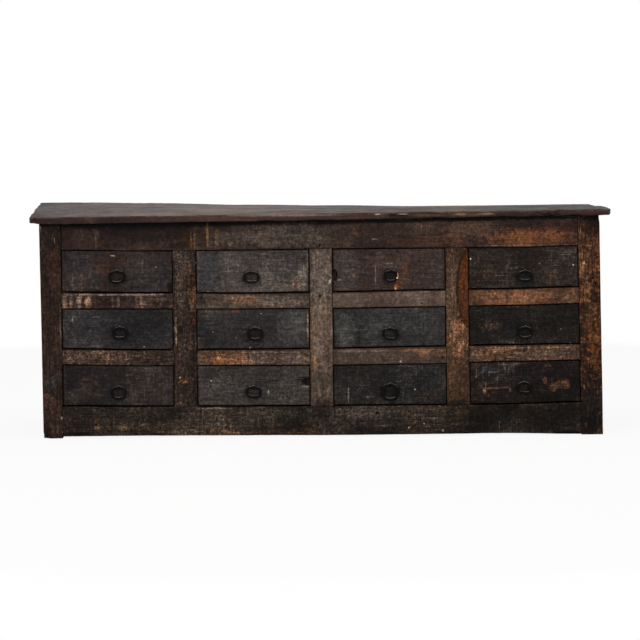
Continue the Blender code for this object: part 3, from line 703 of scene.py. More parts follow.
def boardSpans():
    front, back = layout["frontY"], layout["frameBackY"]
    columns, tops = layout["columns"], layout["railTops"]
    postBack, postHeight = layout["postBackY"], layout["postHeight"]
    left, right = columns[0][0], columns[3][1]
    low, high = layout["bottomRail"]
    spans = {
        "front_post_left": ((-layout["endX"], front, 0), (left, postBack, postHeight)),
        "front_post_right": ((right, front, 0), (layout["endX"], postBack, postHeight)),
        "top_rail": ((left + openJoint, front, tops[0]), (right - openJoint, back, postHeight)),
        "bottom_rail": ((left + openJoint, front, low), (right - openJoint, back, high)),
    }
    for i in range(3):
        spans[f"divider_{i + 1}"] = ((columns[i][1], front, tops[3] + openJoint),
                                     (columns[i + 1][0], back, tops[0] - openJoint))
    for i, (left, right) in enumerate(columns):
        for tier, row in (("upper", 1), ("lower", 2)):
            bottom, top = layout["rows"][row][1], layout["rows"][row - 1][0]
            spans[f"drawer_rail_{tier}_{i + 1}"] = ((left + openJoint, front, bottom),
                                                    (right - openJoint, back, top))
    return spans


def makeFaceFrame():
    keys = ("cool", "warm", "worn", "wornShare", "contrast", "fibre", "paleShare")
    for seed, (node, (low, high)) in enumerate(boardSpans().items()):
        piece = wornBoard(node + "_worn", low, high, arris=0.0028, step=0.0075, seed=seed * 11 + 3,
                          dents=boardDents.get(node, ()))
        grain = "z" if node.startswith(("front_post", "divider")) else "x"
        look = dict(zip(keys, frameBoards[node]), grain=grain, marks=frameMarks[node])
        wear(piece, agedWood(node + "_wood", seed + 40, **look))
        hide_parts(node)
        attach(piece, "carcass")
    print("face frame made")


# The top's arrises are lightened strongly: wear and a painted highlight along the front arris
topLook = {
    "grain": "x", "cool": "3a2f2b", "warm": "4a3b33", "worn": "4a392f", "wornShare": 0.2, "pale": "6c5c50",
    "edge": "76604f", "edgeRubAndLightShare": 0.5, "clouds": 1.6, "speckle": 1.6, "fibre": 2.0, "rub": 0.3, "grimeAndShade": 0.2,
    "roughness": 0.615, "shine": 0.145, "bump": 0.3,
}
topMarks = (
    ("6f5851", 130, 214, 130, 5, 0.5, 0.3), ("2a1a17", 130, 219.5, 330, 9, 0.97, 1),
    ("3a2620", 330, 217, 330, 9, 0.75, 1), ("21140d", 520, 214.5, 300, 8, 0.75, 1),
    ("523a30", 222, 218.5, 90, 6, 0.4, 0.8), ("625955", 200, 208, 340, 9, 0.75, 0.9),
    ("413c3c", 100, 207, 130, 9, 0.5, 0.5), ("24282a", 400, 207, 320, 4, 0.5, 0.6),
    ("3e2417", 440, 211, 300, 3.5, 0.6, 0.4), ("20150f", 545, 208, 170, 7, 0.85, 1),
    ("3c2a1e", 560, 210.6, 90, 2, 0.5, 0.5), ("796057", 95.5, 210, 1.4, 14, 0.2, 0.3),
    ("201d1c", 90, 209, 40, 4, 0.4, 0.2), ("623f2b", 89, 219, 9, 5, 0.7, 0.3),
    # Down to the mark at 548: the near-black marks lie in chips of the front edge, painted shade in their hollows;
    # the tan ones on the arris above them are bare wood and a painted highlight
    ("4e3021", 360, 216, 24, 4, 0.6, 0.6), ("100c0a", 392, 214.6, 7, 3.6, 0.9, 1),
    ("a8937c", 377, 213.8, 7, 1.3, 0.85, 0.4), ("100c0a", 402, 214.8, 9, 1.8, 0.85, 1),
    ("a08a74", 403, 213.6, 9, 1.2, 0.85, 0.4), ("140f0c", 384, 217, 10, 1.6, 0.8, 0.8),
    ("7f5f47", 428, 214.6, 30, 2.4, 0.6, 0.4), ("3c2b20", 448, 215.6, 20, 3, 0.6, 0.5),
    ("8a7058", 460, 213.6, 13, 2.2, 0.75, 0.3), ("8a7058", 486, 213.2, 14, 1.8, 0.8, 0.4),
    ("553d2c", 476, 214.4, 44, 3.2, 0.6, 0.2), ("100b09", 499, 215, 9, 2.2, 0.85, 0.8),
    ("050303", 548, 214.4, 34, 3.4, 0.85, 0.8), ("28160e", 560, 213.2, 30, 2.4, 0.6, 0.7),
    ("392116", 594, 213.2, 30, 5, 0.7, 0.8), ("1c1310", 34, 217.5, 6, 5, 0.8, 0.9),
    ("5c4a3e", 50, 217.4, 30, 1.4, 0.5, 0.4), ("1e1815", 240, 221, 60, 1.6, 0.6, 0.6),
    # The second mark below: a pale line on the front arris, painted highlight
    ("6d5e59", 285, 214.8, 110, 2.2, 0.8, 1), ("958172", 272, 214.2, 70, 1.4, 0.5, 0.6),
    ("8a7c70", 32.5, 217.6, 1.8, 2.6, 0.7, 1), ("54382a", 38, 216.8, 9, 3.4, 0.6, 0.6),
    ("75685e", 51, 216, 8, 1.6, 0.5, 0.5),
)
# Broken out of the top's front edge: x, height, radius and depth
topChips = (
    (-1.172, 0.882, 0.036, 0.010), (-1.164, 0.896, 0.030, 0.006), (-0.93, 0.909, 0.030, 0.003),
    (-0.52, 0.909, 0.026, 0.003), (-0.22, 0.883, 0.040, 0.004), (0.05, 0.909, 0.030, 0.003),
    (0.235, 0.909, 0.026, 0.006), (0.285, 0.886, 0.022, 0.008), (0.325, 0.884, 0.026, 0.010),
    (0.47, 0.883, 0.050, 0.005), (0.66, 0.909, 0.050, 0.005), (0.74, 0.883, 0.040, 0.006),
    (0.87, 0.882, 0.036, 0.012), (0.93, 0.882, 0.040, 0.014), (1.01, 0.883, 0.050, 0.006),
    (1.164, 0.885, 0.040, 0.008),
)
topBoards = {
    "top_board_front": ((-1.171, -0.27015, 0.8823), (1.167, 0.06985, 0.9093)),
    "top_board_back": ((-1.170, 0.07015, 0.8823), (1.135, 0.27015, 0.9093)),
}


def makeTop():
    chips = [((x, layout["topFrontY"], z), radius, depth) for x, z, radius, depth in topChips]
    for seed, (node, (low, high)) in enumerate(topBoards.items()):
        front = node == "top_board_front"
        piece = wornBoard(node + "_worn", low, high, arris=0.006, step=0.009, seed=seed * 7 + 301,
                          wave=0.0006, rough=0.7, dents=chips if front else ())
        wear(piece, agedWood(node + "_wood", seed + 80, **topLook, marks=topMarks, marksOn="top"))
        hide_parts(node)
        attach(piece, "carcass")
    print("top made")


# The fronts' arrises are lightened a little: wear and a painted highlight
drawerLook = {
    "grain": "x", "worn": "544036", "wornShare": 0.06, "edge": "6e5444", "edgeRubAndLightShare": 0.15,
    "pale": "6e6862", "roughness": 0.55, "speckle": 3.9, "fibre": 2.4,
}
# Paint of each front: cool, warm, how much of the warm, and contrast
drawerPaints = {
    "r1_c1": ("2a2120", "302724", 0.5, 0.98), "r1_c2": ("3c3634", "473e3a", 0.5, 0.95),
    "r1_c3": ("392c28", "40322d", 0.6, 1.02), "r1_c4": ("211a17", "251e1a", 0.5, 1.43),
    "r2_c1": ("282424", "2c2828", 0.3, 1.12), "r2_c2": ("2f2b2a", "33302f", 0.3, 0.90),
    "r2_c3": ("2b2827", "302f2e", 0.3, 1.03), "r2_c4": ("181411", "1d1815", 0.4, 1.59),
    "r3_c1": ("231e1d", "292321", 0.5, 1.02), "r3_c2": ("3a3532", "403a38", 0.4, 1.20),
    "r3_c3": ("1f1c1b", "242220", 0.4, 1.32), "r3_c4": ("140e0c", "1b1311", 0.5, 1.64),
}
drawerMarks = {
    "r1_c1": (
        ("1c110c", 112, 283, 30, 12, 0.4, 1), ("2f211d", 98, 262, 20, 16, 0.35, 0.6),
        ("242426", 150, 276, 50, 34, 0.5, 0.6), ("29292d", 79, 265, 32, 26, 0.4, 0.6),
        ("331e16", 110, 262, 30, 22, 0.65, 0.15), ("482516", 107, 272, 14, 14, 0.45, 0.1),
        ("b8ab98", 112.5, 255.8, 4.4, 1.6, 0.6, 1.0), ("655a53", 73, 283, 3.5, 14, 0.6, 0.2),
        ("5d4a3d", 82, 283, 4, 17, 0.65, 0.2), ("544133", 97, 287, 2.5, 6, 0.5, 0.2),
        ("9a9084", 156, 267, 1.44, 1.44, 0.64, 1.0), ("020304", 170.5, 287, 6, 13, 0.9, 0.9),
    ),
    "r1_c2": (
        ("534946", 268, 290, 50, 5, 0.5, 0.7), ("64554c", 282, 288, 26, 7, 0.45, 0.6),
        ("a49282", 302, 278, 9, 24, 0.5, 0.6), ("25282b", 209, 272, 28, 44, 0.7, 0.7),
        ("413835", 233, 274, 24, 34, 0.45, 0.2), ("625c50", 228, 268, 1.6, 20, 0.5, 0.3),
        ("625c50", 238, 272, 1.6, 26, 0.5, 0.3), ("5e5549", 233, 285, 1.8, 12, 0.5, 0.3),
        ("2f312f", 250, 263, 22, 12, 0.45, 0.4), ("756b64", 276, 272, 38, 30, 0.45, 0.3),
        ("827573", 272, 264.5, 22, 1.4, 0.5, 0.3), ("5f5b60", 280, 269, 20, 1.4, 0.5, 0.3),
        ("7a8885", 275, 273, 24, 1.4, 0.4, 0.2), ("7e685a", 293, 280, 2, 18, 0.55, 0.2),
        ("c39676", 295, 285, 11, 11, 0.55, 0.2), ("645e55", 264, 254.5, 5, 2.5, 0.6, 0.4),
        ("878274", 307.6, 270, 1.6, 40, 0.5, 0.4),
    ),
    "r1_c3": (
        ("0b0707", 380, 253, 46, 6, 0.5, 0.9), ("5a5350", 345, 272, 28, 36, 0.5, 0.6),
        ("403d3a", 437, 272, 14, 40, 0.5, 0.3), ("7e6962", 375.5, 275, 1.5, 21, 0.7, 0.7),
        ("5e5652", 379, 252.6, 6, 2, 0.45, 0.5), ("2b170d", 391, 256, 13, 13, 0.5, 0.15),
        ("583927", 405, 272, 9, 22, 0.75, 0.15), ("995c36", 399, 283, 8, 14, 0.5, 0.1),
        ("b0602e", 395.6, 287, 3.4, 6, 0.8, 1), ("ffc89a", 395.5, 289.2, 1.5, 4, 0.9, 1.0),
        ("0c0a0a", 390.6, 275.5, 10, 8, 0.75, 1), ("a06840", 353.5, 275, 3, 3, 0.7, 0.5),
        ("544f49", 390, 266.5, 14, 1.5, 0.5, 0.3), ("8a8278", 388, 263.5, 8, 1.4, 0.4, 0.3),
        ("4d3021", 334.5, 273, 9, 12, 0.8, 0.7), ("a08a74", 338.5, 279.5, 5, 2, 0.7, 0.8),
        ("060403", 334.7, 273.9, 5.0, 10.2, 0.93, 2), ("33200f", 334.9, 273.4, 1.2, 6, 0.6, 1),
        ("8a807a", 337.4, 279.2, 7, 1.3, 0.5, 1),
    ),
    "r1_c4": (
        ("0c0907", 494, 282, 14, 10, 0.5, 0.9), ("0b0606", 500, 268, 16, 28, 0.45, 0.9),
        ("241f1a", 471.5, 266, 3, 36, 0.5, 0.3), ("c0bab0", 470.6, 259, 1.44, 1.44, 0.72, 1.0),
        ("b8b4ac", 573.5, 265, 1.44, 1.44, 0.64, 1.0), ("a8a298", 539.5, 263.5, 1.3, 1.3, 0.56, 1.0),
        ("3a2e21", 489, 271, 24, 3, 0.5, 0.15), ("3f2b1e", 484, 275, 3, 8, 0.5, 0.2),
        ("473832", 507, 282, 2.5, 13, 0.55, 0.2), ("4a2b1a", 550, 277, 2.5, 16, 0.5, 0.15),
        ("4a2b1f", 555.5, 276, 2.5, 14, 0.5, 0.15),
    ),
    "r2_c1": (
        ("524c49", 96, 345, 18, 8, 0.4, 0.6), ("222326", 118, 325, 112, 38, 0.4, 0.6),
        ("7c7c78", 72.5, 320, 2, 5, 0.5, 0.8), ("524a4c", 70, 344, 3, 9, 0.5, 0.3),
        ("3e3835", 82, 343, 30, 12, 0.4, 0.3), ("8a8478", 144.5, 346.8, 2, 1.6, 0.8, 1.0),
    ),
    "r2_c2": (
        ("423c3a", 278, 314, 50, 4, 0.5, 0.7), ("21160f", 200, 316, 9, 24, 0.6, 0.9),
        ("0e0b0b", 208, 328, 22, 36, 0.5, 0.9), ("5b5856", 292, 328, 28, 36, 0.5, 0.9),
        ("151616", 225, 330, 54, 36, 0.4, 0.6), ("392a1d", 219, 311.5, 44, 2, 0.65, 0.3),
        ("643d29", 236, 311.5, 9, 3, 0.7, 0.4), ("c3a479", 308, 326, 2, 32, 0.5, 0.3),
        ("b0a890", 261, 313.5, 1.44, 1.44, 0.64, 1.0), ("b8b0a0", 250, 347.5, 1.44, 1.44, 0.64, 1.0),
        ("9a6440", 213, 332, 1.44, 1.44, 0.56, 1.0), ("9a6440", 236, 338, 1.44, 1.44, 0.56, 1.0),
        ("0c0c0d", 204, 337, 14, 26, 0.5, 0.9),
    ),
    "r2_c3": (
        ("272425", 384, 318, 60, 12, 0.4, 1), ("0b0a0a", 404, 320, 40, 14, 0.4, 0.9),
        ("65635e", 346, 332, 20, 36, 0.5, 0.7), ("454545", 370, 322, 62, 26, 0.35, 0.5),
        ("252826", 437, 340, 12, 8, 0.3, 0.0), ("4a3c2c", 399.5, 343, 4, 4, 0.6, 0.3),
        ("5f5a53", 360, 330, 40, 1.3, 0.4, 0.2), ("383a3c", 420, 322, 36, 1.3, 0.4, 0.2),
    ),
    "r2_c4": (
        ("080706", 516, 332, 44, 14, 0.45, 1), ("040403", 530, 322, 40, 20, 0.45, 0.9),
        ("5c493c", 490, 324, 22, 13, 0.5, 0.05), ("b0aca4", 561, 329, 1.44, 1.44, 0.64, 1.0),
        ("b0aca4", 570, 343, 1.44, 1.44, 0.64, 1.0),
    ),
    "r3_c1": (
        ("3f3835", 80, 393, 22, 18, 0.5, 0.7), ("4e443d", 74, 396, 16, 14, 0.5, 0.6),
        ("523f37", 90, 388, 22, 26, 0.5, 0.2), ("261817", 150, 385, 22, 32, 0.5, 0.2),
        ("393334", 166.5, 385, 6, 30, 0.4, 0.15), ("47392c", 65.4, 386, 1.6, 38, 0.5, 0.3),
    ),
    "r3_c2": (
        ("1b1916", 206, 375, 24, 18, 0.5, 1), ("564f49", 290, 392, 30, 28, 0.5, 0.8),
        ("0d0c0b", 210, 373, 24, 14, 0.5, 0.9), ("39291b", 222, 368.2, 46, 2, 0.65, 0.3),
        ("c0b8ac", 211, 381, 1.58, 1.58, 0.72, 1.0), ("101010", 210.5, 386.5, 3, 2.5, 0.8, 1.0),
        ("121010", 281.5, 393, 6, 1.3, 0.8, 1.0), ("9a948a", 268.5, 392.5, 1.5, 6, 0.6, 0.8),
        ("0c0b0b", 300, 379.5, 8, 1.4, 0.8, 1.0), ("0a0302", 306.5, 381, 9, 9, 0.8, 0.8),
        ("8a7f76", 306, 386.4, 8, 1.6, 0.7, 0.8), ("0c0706", 307, 381.2, 8.4, 7.6, 0.93, 2),
        ("040404", 301.8, 377.6, 6, 1.4, 0.8, 2), ("060606", 300, 381.2, 7, 1.7, 0.75, 1),
        ("8a8078", 305.4, 386, 10, 1.3, 0.45, 1),
    ),
    "r3_c3": (
        ("0b0d12", 402, 392, 26, 16, 0.4, 1), ("382922", 360, 369, 32, 6, 0.5, 0.2),
        ("91857b", 348.5, 395.5, 1.5, 14, 0.6, 0.6), ("827257", 370, 397, 7, 2, 0.6, 0.3),
        ("4f3222", 426, 396, 28, 8, 0.5, 0.0), ("c0bab0", 415, 389.5, 1.44, 1.44, 0.72, 1.0),
    ),
    "r3_c4": (
        ("1b1512", 565, 398, 24, 10, 0.5, 1), ("100e10", 520, 376, 60, 14, 0.4, 1),
        ("35291c", 548, 386, 14, 14, 0.6, 0.5), ("313f42", 487, 370, 26, 9, 0.3, 0.15),
        ("7a5440", 492, 388, 14, 2.4, 0.75, 0.5), ("7a5440", 503, 387.5, 12, 2.2, 0.7, 0.5),
        ("70503c", 510, 389.5, 2.6, 5, 0.7, 0.5), ("7a5440", 484.5, 391.5, 3, 7, 0.75, 0.5),
        ("6a4634", 487, 396, 9, 3, 0.6, 0.3), ("7c5440", 545, 381, 4, 8, 0.7, 0.4),
        ("845a44", 553, 387, 6, 10, 0.75, 0.5), ("8c6048", 559, 384, 8, 8, 0.75, 0.5),
        ("8c6048", 566, 384, 7, 9, 0.8, 0.6), ("422f23", 555, 379, 22, 3, 0.5, 0.2),
        ("625336", 578, 400, 7, 4, 0.6, 0.3),
    ),
}
# Where each ring hangs in the photograph. The paint round it is darker: dirt rubbed in by the ring and painted
# shade of the ring
ringSpots = {
    "r1_c1": (117, 278), "r1_c2": (251.5, 279), "r1_c3": (390.5, 277), "r1_c4": (523.5, 275.5),
    "r2_c1": (120.3, 334), "r2_c2": (255.5, 336), "r2_c3": (390.3, 335), "r2_c4": (525, 332),
    "r3_c1": (119, 393.5), "r3_c2": (253.5, 393.5), "r3_c3": (391, 394), "r3_c4": (525, 388),
}
drawerFit = {
    "left": 0.0042,  # gaps round a front, as they look in the photograph
    "right": 0.0040,
    "bottom": 0.0068,
    "top": 0.0045,
    "lap": 0.0068,  # wood left in front of the sockets
    "front": 0.024,  # thickness of a front
    "socket": 0.0143,
    "lapOverlap": 0.0004,  # so far parts of one piece run into each other
    "tailOverlap": 0.0005,
    "tailWidth": 0.024,
    "tailFlare": 0.003,
    "tailShares": (0.151, 0.384, 0.616, 0.849),
    "play": 0.0003,
    "rest": 0.0008,
    "sideDrop": 0.008,
}
# Laps with a piece out of one end: which end, height, width and height of the piece
brokenLaps = {"r1_c3": (-1, 0.0665, 0.019, 0.044), "r3_c2": (1, 0.0985, 0.030, 0.034)}


def drawerPlaces():
    for row, (bottom, top) in enumerate(layout["rows"]):
        for column, (left, right) in enumerate(layout["columns"]):
            yield f"r{row + 1}_c{column + 1}", left, right, bottom, top


# Closed solid between an outline and another of as many points, across the depth or the width
def solidBetween(name, nearOutline, farOutline, near, far, across=False):
    shape = bmesh.new()
    rings = []
    for outline, place in ((nearOutline, near), (farOutline, far)):
        spots = [(place, a, b) if across else (a, place, b) for a, b in outline]
        rings.append([shape.verts.new(spot) for spot in settled(np.array(spots))])
    count = len(nearOutline)
    for i in range(count):
        j = (i + 1) % count
        shape.faces.new((rings[0][i], rings[0][j], rings[1][j], rings[1][i]))
    shape.faces.new(rings[0])
    shape.faces.new(rings[1])
    return shapeObject(name, shape)


def tailLevels(bottom, top):
    low = bottom + drawerFit["rest"]
    height = top - bottom - drawerFit["sideDrop"]
    return [low + share * height for share in drawerFit["tailShares"]], low, low + height


# The inner part of a drawer front, with the sockets that the tails of the sides sit in
def socketOutline(left, right, bottom, top, levels, half, depth):
    outline = [(right, bottom)]
    for level in levels:
        outline += [(right, level - half), (right - depth, level - half),
                    (right - depth, level + half), (right, level + half)]
    outline += [(right, top), (left, top)]
    for level in reversed(levels):
        outline += [(left, level + half), (left + depth, level + half),
                    (left + depth, level - half), (left, level - half)]
    return outline + [(left, bottom)]


def joinPieces(first, *others):
    shape = bmesh.new()
    shape.from_mesh(first.data)
    for other in others:
        shape.from_mesh(other.data)
        bpy.data.objects.remove(other)
    shape.to_mesh(first.data)
    shape.free()
    return first


def makeDrawerFronts():
    front = layout["frontY"]
    for seed, (place, left, right, bottom, top) in enumerate(drawerPlaces()):
        low = (left + drawerFit["left"], front, bottom + drawerFit["bottom"])
        high = (right - drawerFit["right"], front + drawerFit["lap"], top - drawerFit["top"])
        bites = ()
        if place in brokenLaps:
            side, level, wide, tall = brokenLaps[place]
            bites = ((side, bottom + level, wide, tall),)
        lap = wornBoard("front_" + place, low, high, arris=0.0024, step=0.0065, seed=seed * 13 + 500,
                        wave=0.0005, rough=0.6, bites=bites)
        levels, _, _ = tailLevels(bottom, top)
        base = drawerFit["tailWidth"] / 2 + drawerFit["play"]
        outlines = [socketOutline(low[0], high[0], low[2], high[2], levels, half, drawerFit["socket"])
                    for half in (base + drawerFit["tailFlare"], base)]
        back = solidBetween("back_" + place, *outlines, high[1] - drawerFit["lapOverlap"],
                            front + drawerFit["front"])
        piece = joinPieces(lap, back)
        cool, warm, share, contrast = drawerPaints[place]
        # Dark patch round the ring: rubbed-in dirt and painted shade of the ring
        ringShadeAndRub = (("0c0c0c", *ringSpots[place], 21, 17, 0.5, 1),)
        look = {**drawerLook, "cool": cool, "warm": warm, "warmShare": share, "contrast": contrast,
                "marks": drawerMarks[place] + ringShadeAndRub}
        wear(piece, agedWood("paint_" + place, seed + 100, **look))
        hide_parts("drawer_front_" + place)
        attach(piece, "drawer_" + place)
    print("drawer fronts made")


# Planed wood that was never finished
rawLook = {
    "cool": "5c4632", "warm": "7c6046", "worn": "94745a", "wornShare": 0.1, "clouds": 1.4, "speckle": 1.8,
    "fibre": 2.4, "rub": 0.3, "pale": "94806a", "edgeRubAndLightShare": 0, "grimeAndShade": 0.15, "roughness": 0.75,
}
tailLook = {**rawLook, "cool": "1c120d", "warm": "2c1c14", "worn": "3c281c"}
drawerBox = {
    "side": 0.014,
    "start": 0.0243,  # behind the face frame's front, as are tip and floorStart
    "tip": 0.0073,
    "back": 0.012,
    "backInset": 0.006,
    "backDrop": 0.008,
    "floor": 0.008,
    "floorLift": 0.010,
    "floorStart": 0.0173,
    "housing": 0.007,
    "sideGap": 0.0023,
}


# Two dovetailed sides, a back let in between them and a floor in its grooves
def makeDrawerBoxes():
    sideWood = agedWood("drawer_side_wood", 200, grain="y", **rawLook)
    tailWood = agedWood("tail_wood", 201, grain="y", **tailLook)
    front, end = layout["frontY"], layout["backInnerY"] - drawerFit["rest"]
    fit = drawerBox
    for seed, (place, left, right, bottom, top) in enumerate(drawerPlaces()):
        levels, low, high = tailLevels(bottom, top)
        left, right = left + fit["sideGap"], right - fit["sideGap"]
        inLeft, inRight = left + fit["housing"], right - fit["housing"]
        start, tip = front + fit["start"], front + fit["tip"]
        backStart = end - fit["backInset"] - fit["back"]
        floor = low + fit["floorLift"]
        floorTop = floor + fit["floor"]
        boards = [
            ((left, start, low), (left + fit["side"], end, high)),
            ((right - fit["side"], start, low), (right, end, high)),
            ((inLeft, backStart, floorTop), (inRight, backStart + fit["back"], high - fit["backDrop"])),
            ((inLeft, front + fit["floorStart"], floor), (inRight, end - fit["backInset"] / 2, floorTop)),
        ]
        pieces = [wornBoard(f"box_{place}_{i}", *corners, arris=0.0015, step=0.024, wave=0.0002,
                            seed=seed * 17 + 700 + i) for i, corners in enumerate(boards)]
        piece = wear(joinPieces(*pieces), sideWood)
        piece.name = "box_" + place
        tails = []
        narrow = drawerFit["tailWidth"] / 2
        wide = narrow + drawerFit["tailFlare"]
        root = start + drawerFit["tailOverlap"]
        for level in levels:
            outline = [(root, level - narrow), (tip, level - wide), (tip, level + wide), (root, level + narrow)]
            for x in (left, right - fit["side"]):
                tails.append(solidBetween("tail", outline, outline, x, x + fit["side"], across=True))
        tails = wear(joinPieces(*tails), tailWood)
        tails.name = "tails_" + place
        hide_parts("drawer_box_" + place)
        for item in (piece, tails):
            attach(item, "drawer_" + place)
    print("drawer boxes made")


ringLook = {
    "wire": 0.0098,
    "power": 2.4,  # 2 is an ellipse, more is squarer
    "around": 72,
    "sides": 14,
    "lean": {"r1_c1": 0.06, "r1_c2": -0.05, "r1_c3": 0.03, "r2_c1": 0.04, "r2_c3": -0.11, "r2_c4": 0.03,
             "r3_c1": 0.02, "r3_c2": -0.04, "r3_c4": -0.12},
    "sizes": {  # width and height of each ring, in metres
        "r1_c1": (0.068, 0.054), "r1_c2": (0.067, 0.048), "r1_c3": (0.061, 0.050), "r1_c4": (0.067, 0.046),
        "r2_c1": (0.064, 0.051), "r2_c2": (0.065, 0.054), "r2_c3": (0.067, 0.051), "r2_c4": (0.065, 0.051),
        "r3_c1": (0.065, 0.054), "r3_c2": (0.065, 0.050), "r3_c3": (0.073, 0.071), "r3_c4": (0.065, 0.050),
    },
}
largeRing = {"place": "r3_c3", "wire": 0.0122, "ribDepth": 0.13, "ribTurn": 900, "ribsBelow": 0.72}
# Painted highlight on one side of a ring: colour, place in the photograph, width and height in its pixels
paintedRingHighlights = {"r1_c3": (("b08a5c", 397.9, 274, 1.2, 8), ("f0d4a4", 397.2, 277.6, 1.4, 1.8))}
stapleLook = {"width": 0.008, "strip": 0.0025, "clinch": 0.018, "play": 0.0006, "bends": 28}


def hinge(place):
    for joint in frame["joints"]:
        if joint["child"] == "ring_" + place:
            return Vector(joint["pos_m"])


# Tube round a closed path that lies in a plane facing the front, uneven as a smith leaves it
def forgedRing(name, place, width, height, wire, lean, seed, ribbed=False):
    centre = hinge(place)
    around, sides = ringLook["around"], ringLook["sides"]
    halfWide, halfTall = (width - wire) / 2, (height - wire) / 2

    def squared(share):
        return math.copysign(abs(share) ** (2 / ringLook["power"]), share)

    path = []
    for step in range(around):
        angle = 2 * math.pi * step / around
        across = squared(math.sin(angle)) * halfWide
        up = squared(math.cos(angle)) * halfTall - halfTall
        up += lean * across * min(1, -up / halfTall)
        path.append(Vector((across, 0, up)))
    dice = random.Random(seed)
    phases = [dice.uniform(0, 6.28) for _ in range(4)]
    points = []
    for step, spot in enumerate(path):
        ahead = (path[(step + 1) % around] - path[step - 1]).normalized()
        outward = Vector((ahead.z, 0, -ahead.x))
        turn = 2 * math.pi * step / around
        thick = wire / 2 * (1 + 0.05 * math.sin(2 * turn + phases[0]) + 0.04 * math.sin(5 * turn + phases[1]))
        if spot.z > -wire:
            thick *= 0.93  # worn thin where it turns in the eye
        for side in range(sides):
            angle = 2 * math.pi * side / sides
            swell = thick * (1 + 0.04 * math.sin(3 * angle + phases[2] + turn))
            if ribbed and spot.z < -height * largeRing["ribsBelow"]:
                swell *= 1 + largeRing["ribDepth"] * math.sin(2 * angle - spot.x * largeRing["ribTurn"])
            off = outward * (math.cos(angle) * swell)
            points.append((centre + spot + off + Vector((0, math.sin(angle) * swell, 0)))[:])
    return newObject(name, points, tubeFaces(around, sides, closed=True))


# Strip bent in the plane of depth and height: the eye, two legs and their clinched ends
def bentStaple(name, place, eyeRadius):
    centre = hinge(place)
    half, bends = stapleLook["strip"] / 2, stapleLook["bends"]
    middle = eyeRadius + half
    start = math.asin(half / middle)
    turns = [start + (2 * math.pi - 2 * start) * i / bends for i in range(bends + 1)]
    eye = [Vector((math.cos(turn), math.sin(turn))) * middle for turn in turns]
    inner = layout["frontY"] + drawerFit["front"] - centre.y + half
    leg = [Vector((inner - 0.002, -half)), Vector((inner, -half - 0.002)), Vector((inner, -stapleLook["clinch"]))]
    path = [Vector((spot.x, -spot.y)) for spot in reversed(leg)] + eye + leg
    points = []
    for i, spot in enumerate(path):
        before, after = path[max(0, i - 1)], path[min(len(path) - 1, i + 1)]
        ahead = (after - before).normalized()
        side = Vector((-ahead.y, ahead.x))
        narrow = 0.55 if i in (0, len(path) - 1) else 1
        wide = stapleLook["width"] / 2 * narrow
        corners = ((-wide, -half * 0.7), (-wide * 0.8, -half), (wide * 0.8, -half), (wide, -half * 0.7),
                   (wide, half * 0.7), (wide * 0.8, half), (-wide * 0.8, half), (-wide, half * 0.7))
        for across, off in corners:
            bent = spot + side * off
            points.append((centre.x + across, centre.y + bent.x, centre.z + bent.y))
    count, last = len(corners), len(points)
    faces = tubeFaces(len(path), count, closed=False)
    faces += [tuple(range(count)), tuple(reversed(range(last - count, last)))]
    made = newObject(name, points, faces)
    shape = bmesh.new()
    shape.from_mesh(made.data)
    bmesh.ops.recalc_face_normals(shape, faces=shape.faces)
    shape.to_mesh(made.data)
    shape.free()
    return made


def makeIron():
    iron = wroughtIron("wrought_iron")
    for seed, (place, *_) in enumerate(drawerPlaces()):
        large = place == largeRing["place"]
        wire = largeRing["wire"] if large else ringLook["wire"]
        width, height = ringLook["sizes"][place]
        lean = ringLook["lean"].get(place, 0)
        ring = forgedRing("iron_ring_" + place, place, width, height, wire, lean, seed, ribbed=large)
        staple = bentStaple("staple_" + place, place, wire / 2 + stapleLook["play"])
        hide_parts("ring_" + place)
        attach(ring, "ring_" + place)
        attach(staple, "drawer_" + place)
        # A ring with painted highlights gets a material of its own
        marks = paintedRingHighlights.get(place)
        wear(ring, wroughtIron("wrought_iron_" + place, marks) if marks else iron)
        wear(staple, iron)
    print("iron made")


endLook = {"cool": "221c19", "warm": "3a2c24", "worn": "6a452e", "wornShare": 0.15, "clouds": 1.5}
insideLook = {**rawLook, "cool": "3c2e22", "warm": "5a4432"}
backLook = {**rawLook, "clouds": 1.1, "wornShare": 0.15}
plankTones = (("43382d", "5c4b39"), ("4d4134", "685440"), ("3c3229", "544430"), ("483b2f", "614f3c"))
carcassPlaces = {
    "endRail": (0.001, 0.031),  # inward from the outer face
    "endPanel": (0.007, 0.023),
    "backPost": (0.0, 0.060),
    "endRunner": (0.023, 0.103),
    "endGuide": (0.023, 0.085),
    "backPostStart": 0.18785,
    "backPostEnd": 0.24785,
    "tongue": 0.008,  # how far the panel goes into the rails' grooves
    "runnerHeight": 0.024,
    "guideHeight": 0.030,
    "web": 0.011,  # half the thickness of a partition
    "webRunner": 0.064,
    "webGuide": 0.046,
    "webLow": 0.050,
    "planks": (0.035, 0.24675, 0.4585, 0.67025, 0.882),
    "plankGap": 0.0006,
    "joint": 0.0003,  # between a board and what it stands against
    "postDrop": 0.001,  # the ends' upper rails stay this far under the top
}


def runnersFor(spanX, guideX, start, stop):
    boards = []
    for bottom, _ in layout["rows"]:
        boards.append(((spanX[0], start, bottom - carcassPlaces["runnerHeight"]), (spanX[1], stop, bottom)))
        boards.append(((guideX[0], start, bottom), (guideX[1], stop, bottom + carcassPlaces["guideHeight"])))
    return boards


def fitBoards(name, boards, material, seed, node="", step=0.02, wave=0.0005):
    pieces = [wornBoard(f"{name}_{i}", low, high, arris=0.0022, step=step, seed=seed + i * 5, wave=wave)
              for i, (low, high) in enumerate(boards)]
    piece = wear(joinPieces(*pieces), material)
    piece.name = name
    if node:
        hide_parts(node)
    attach(piece, "carcass")


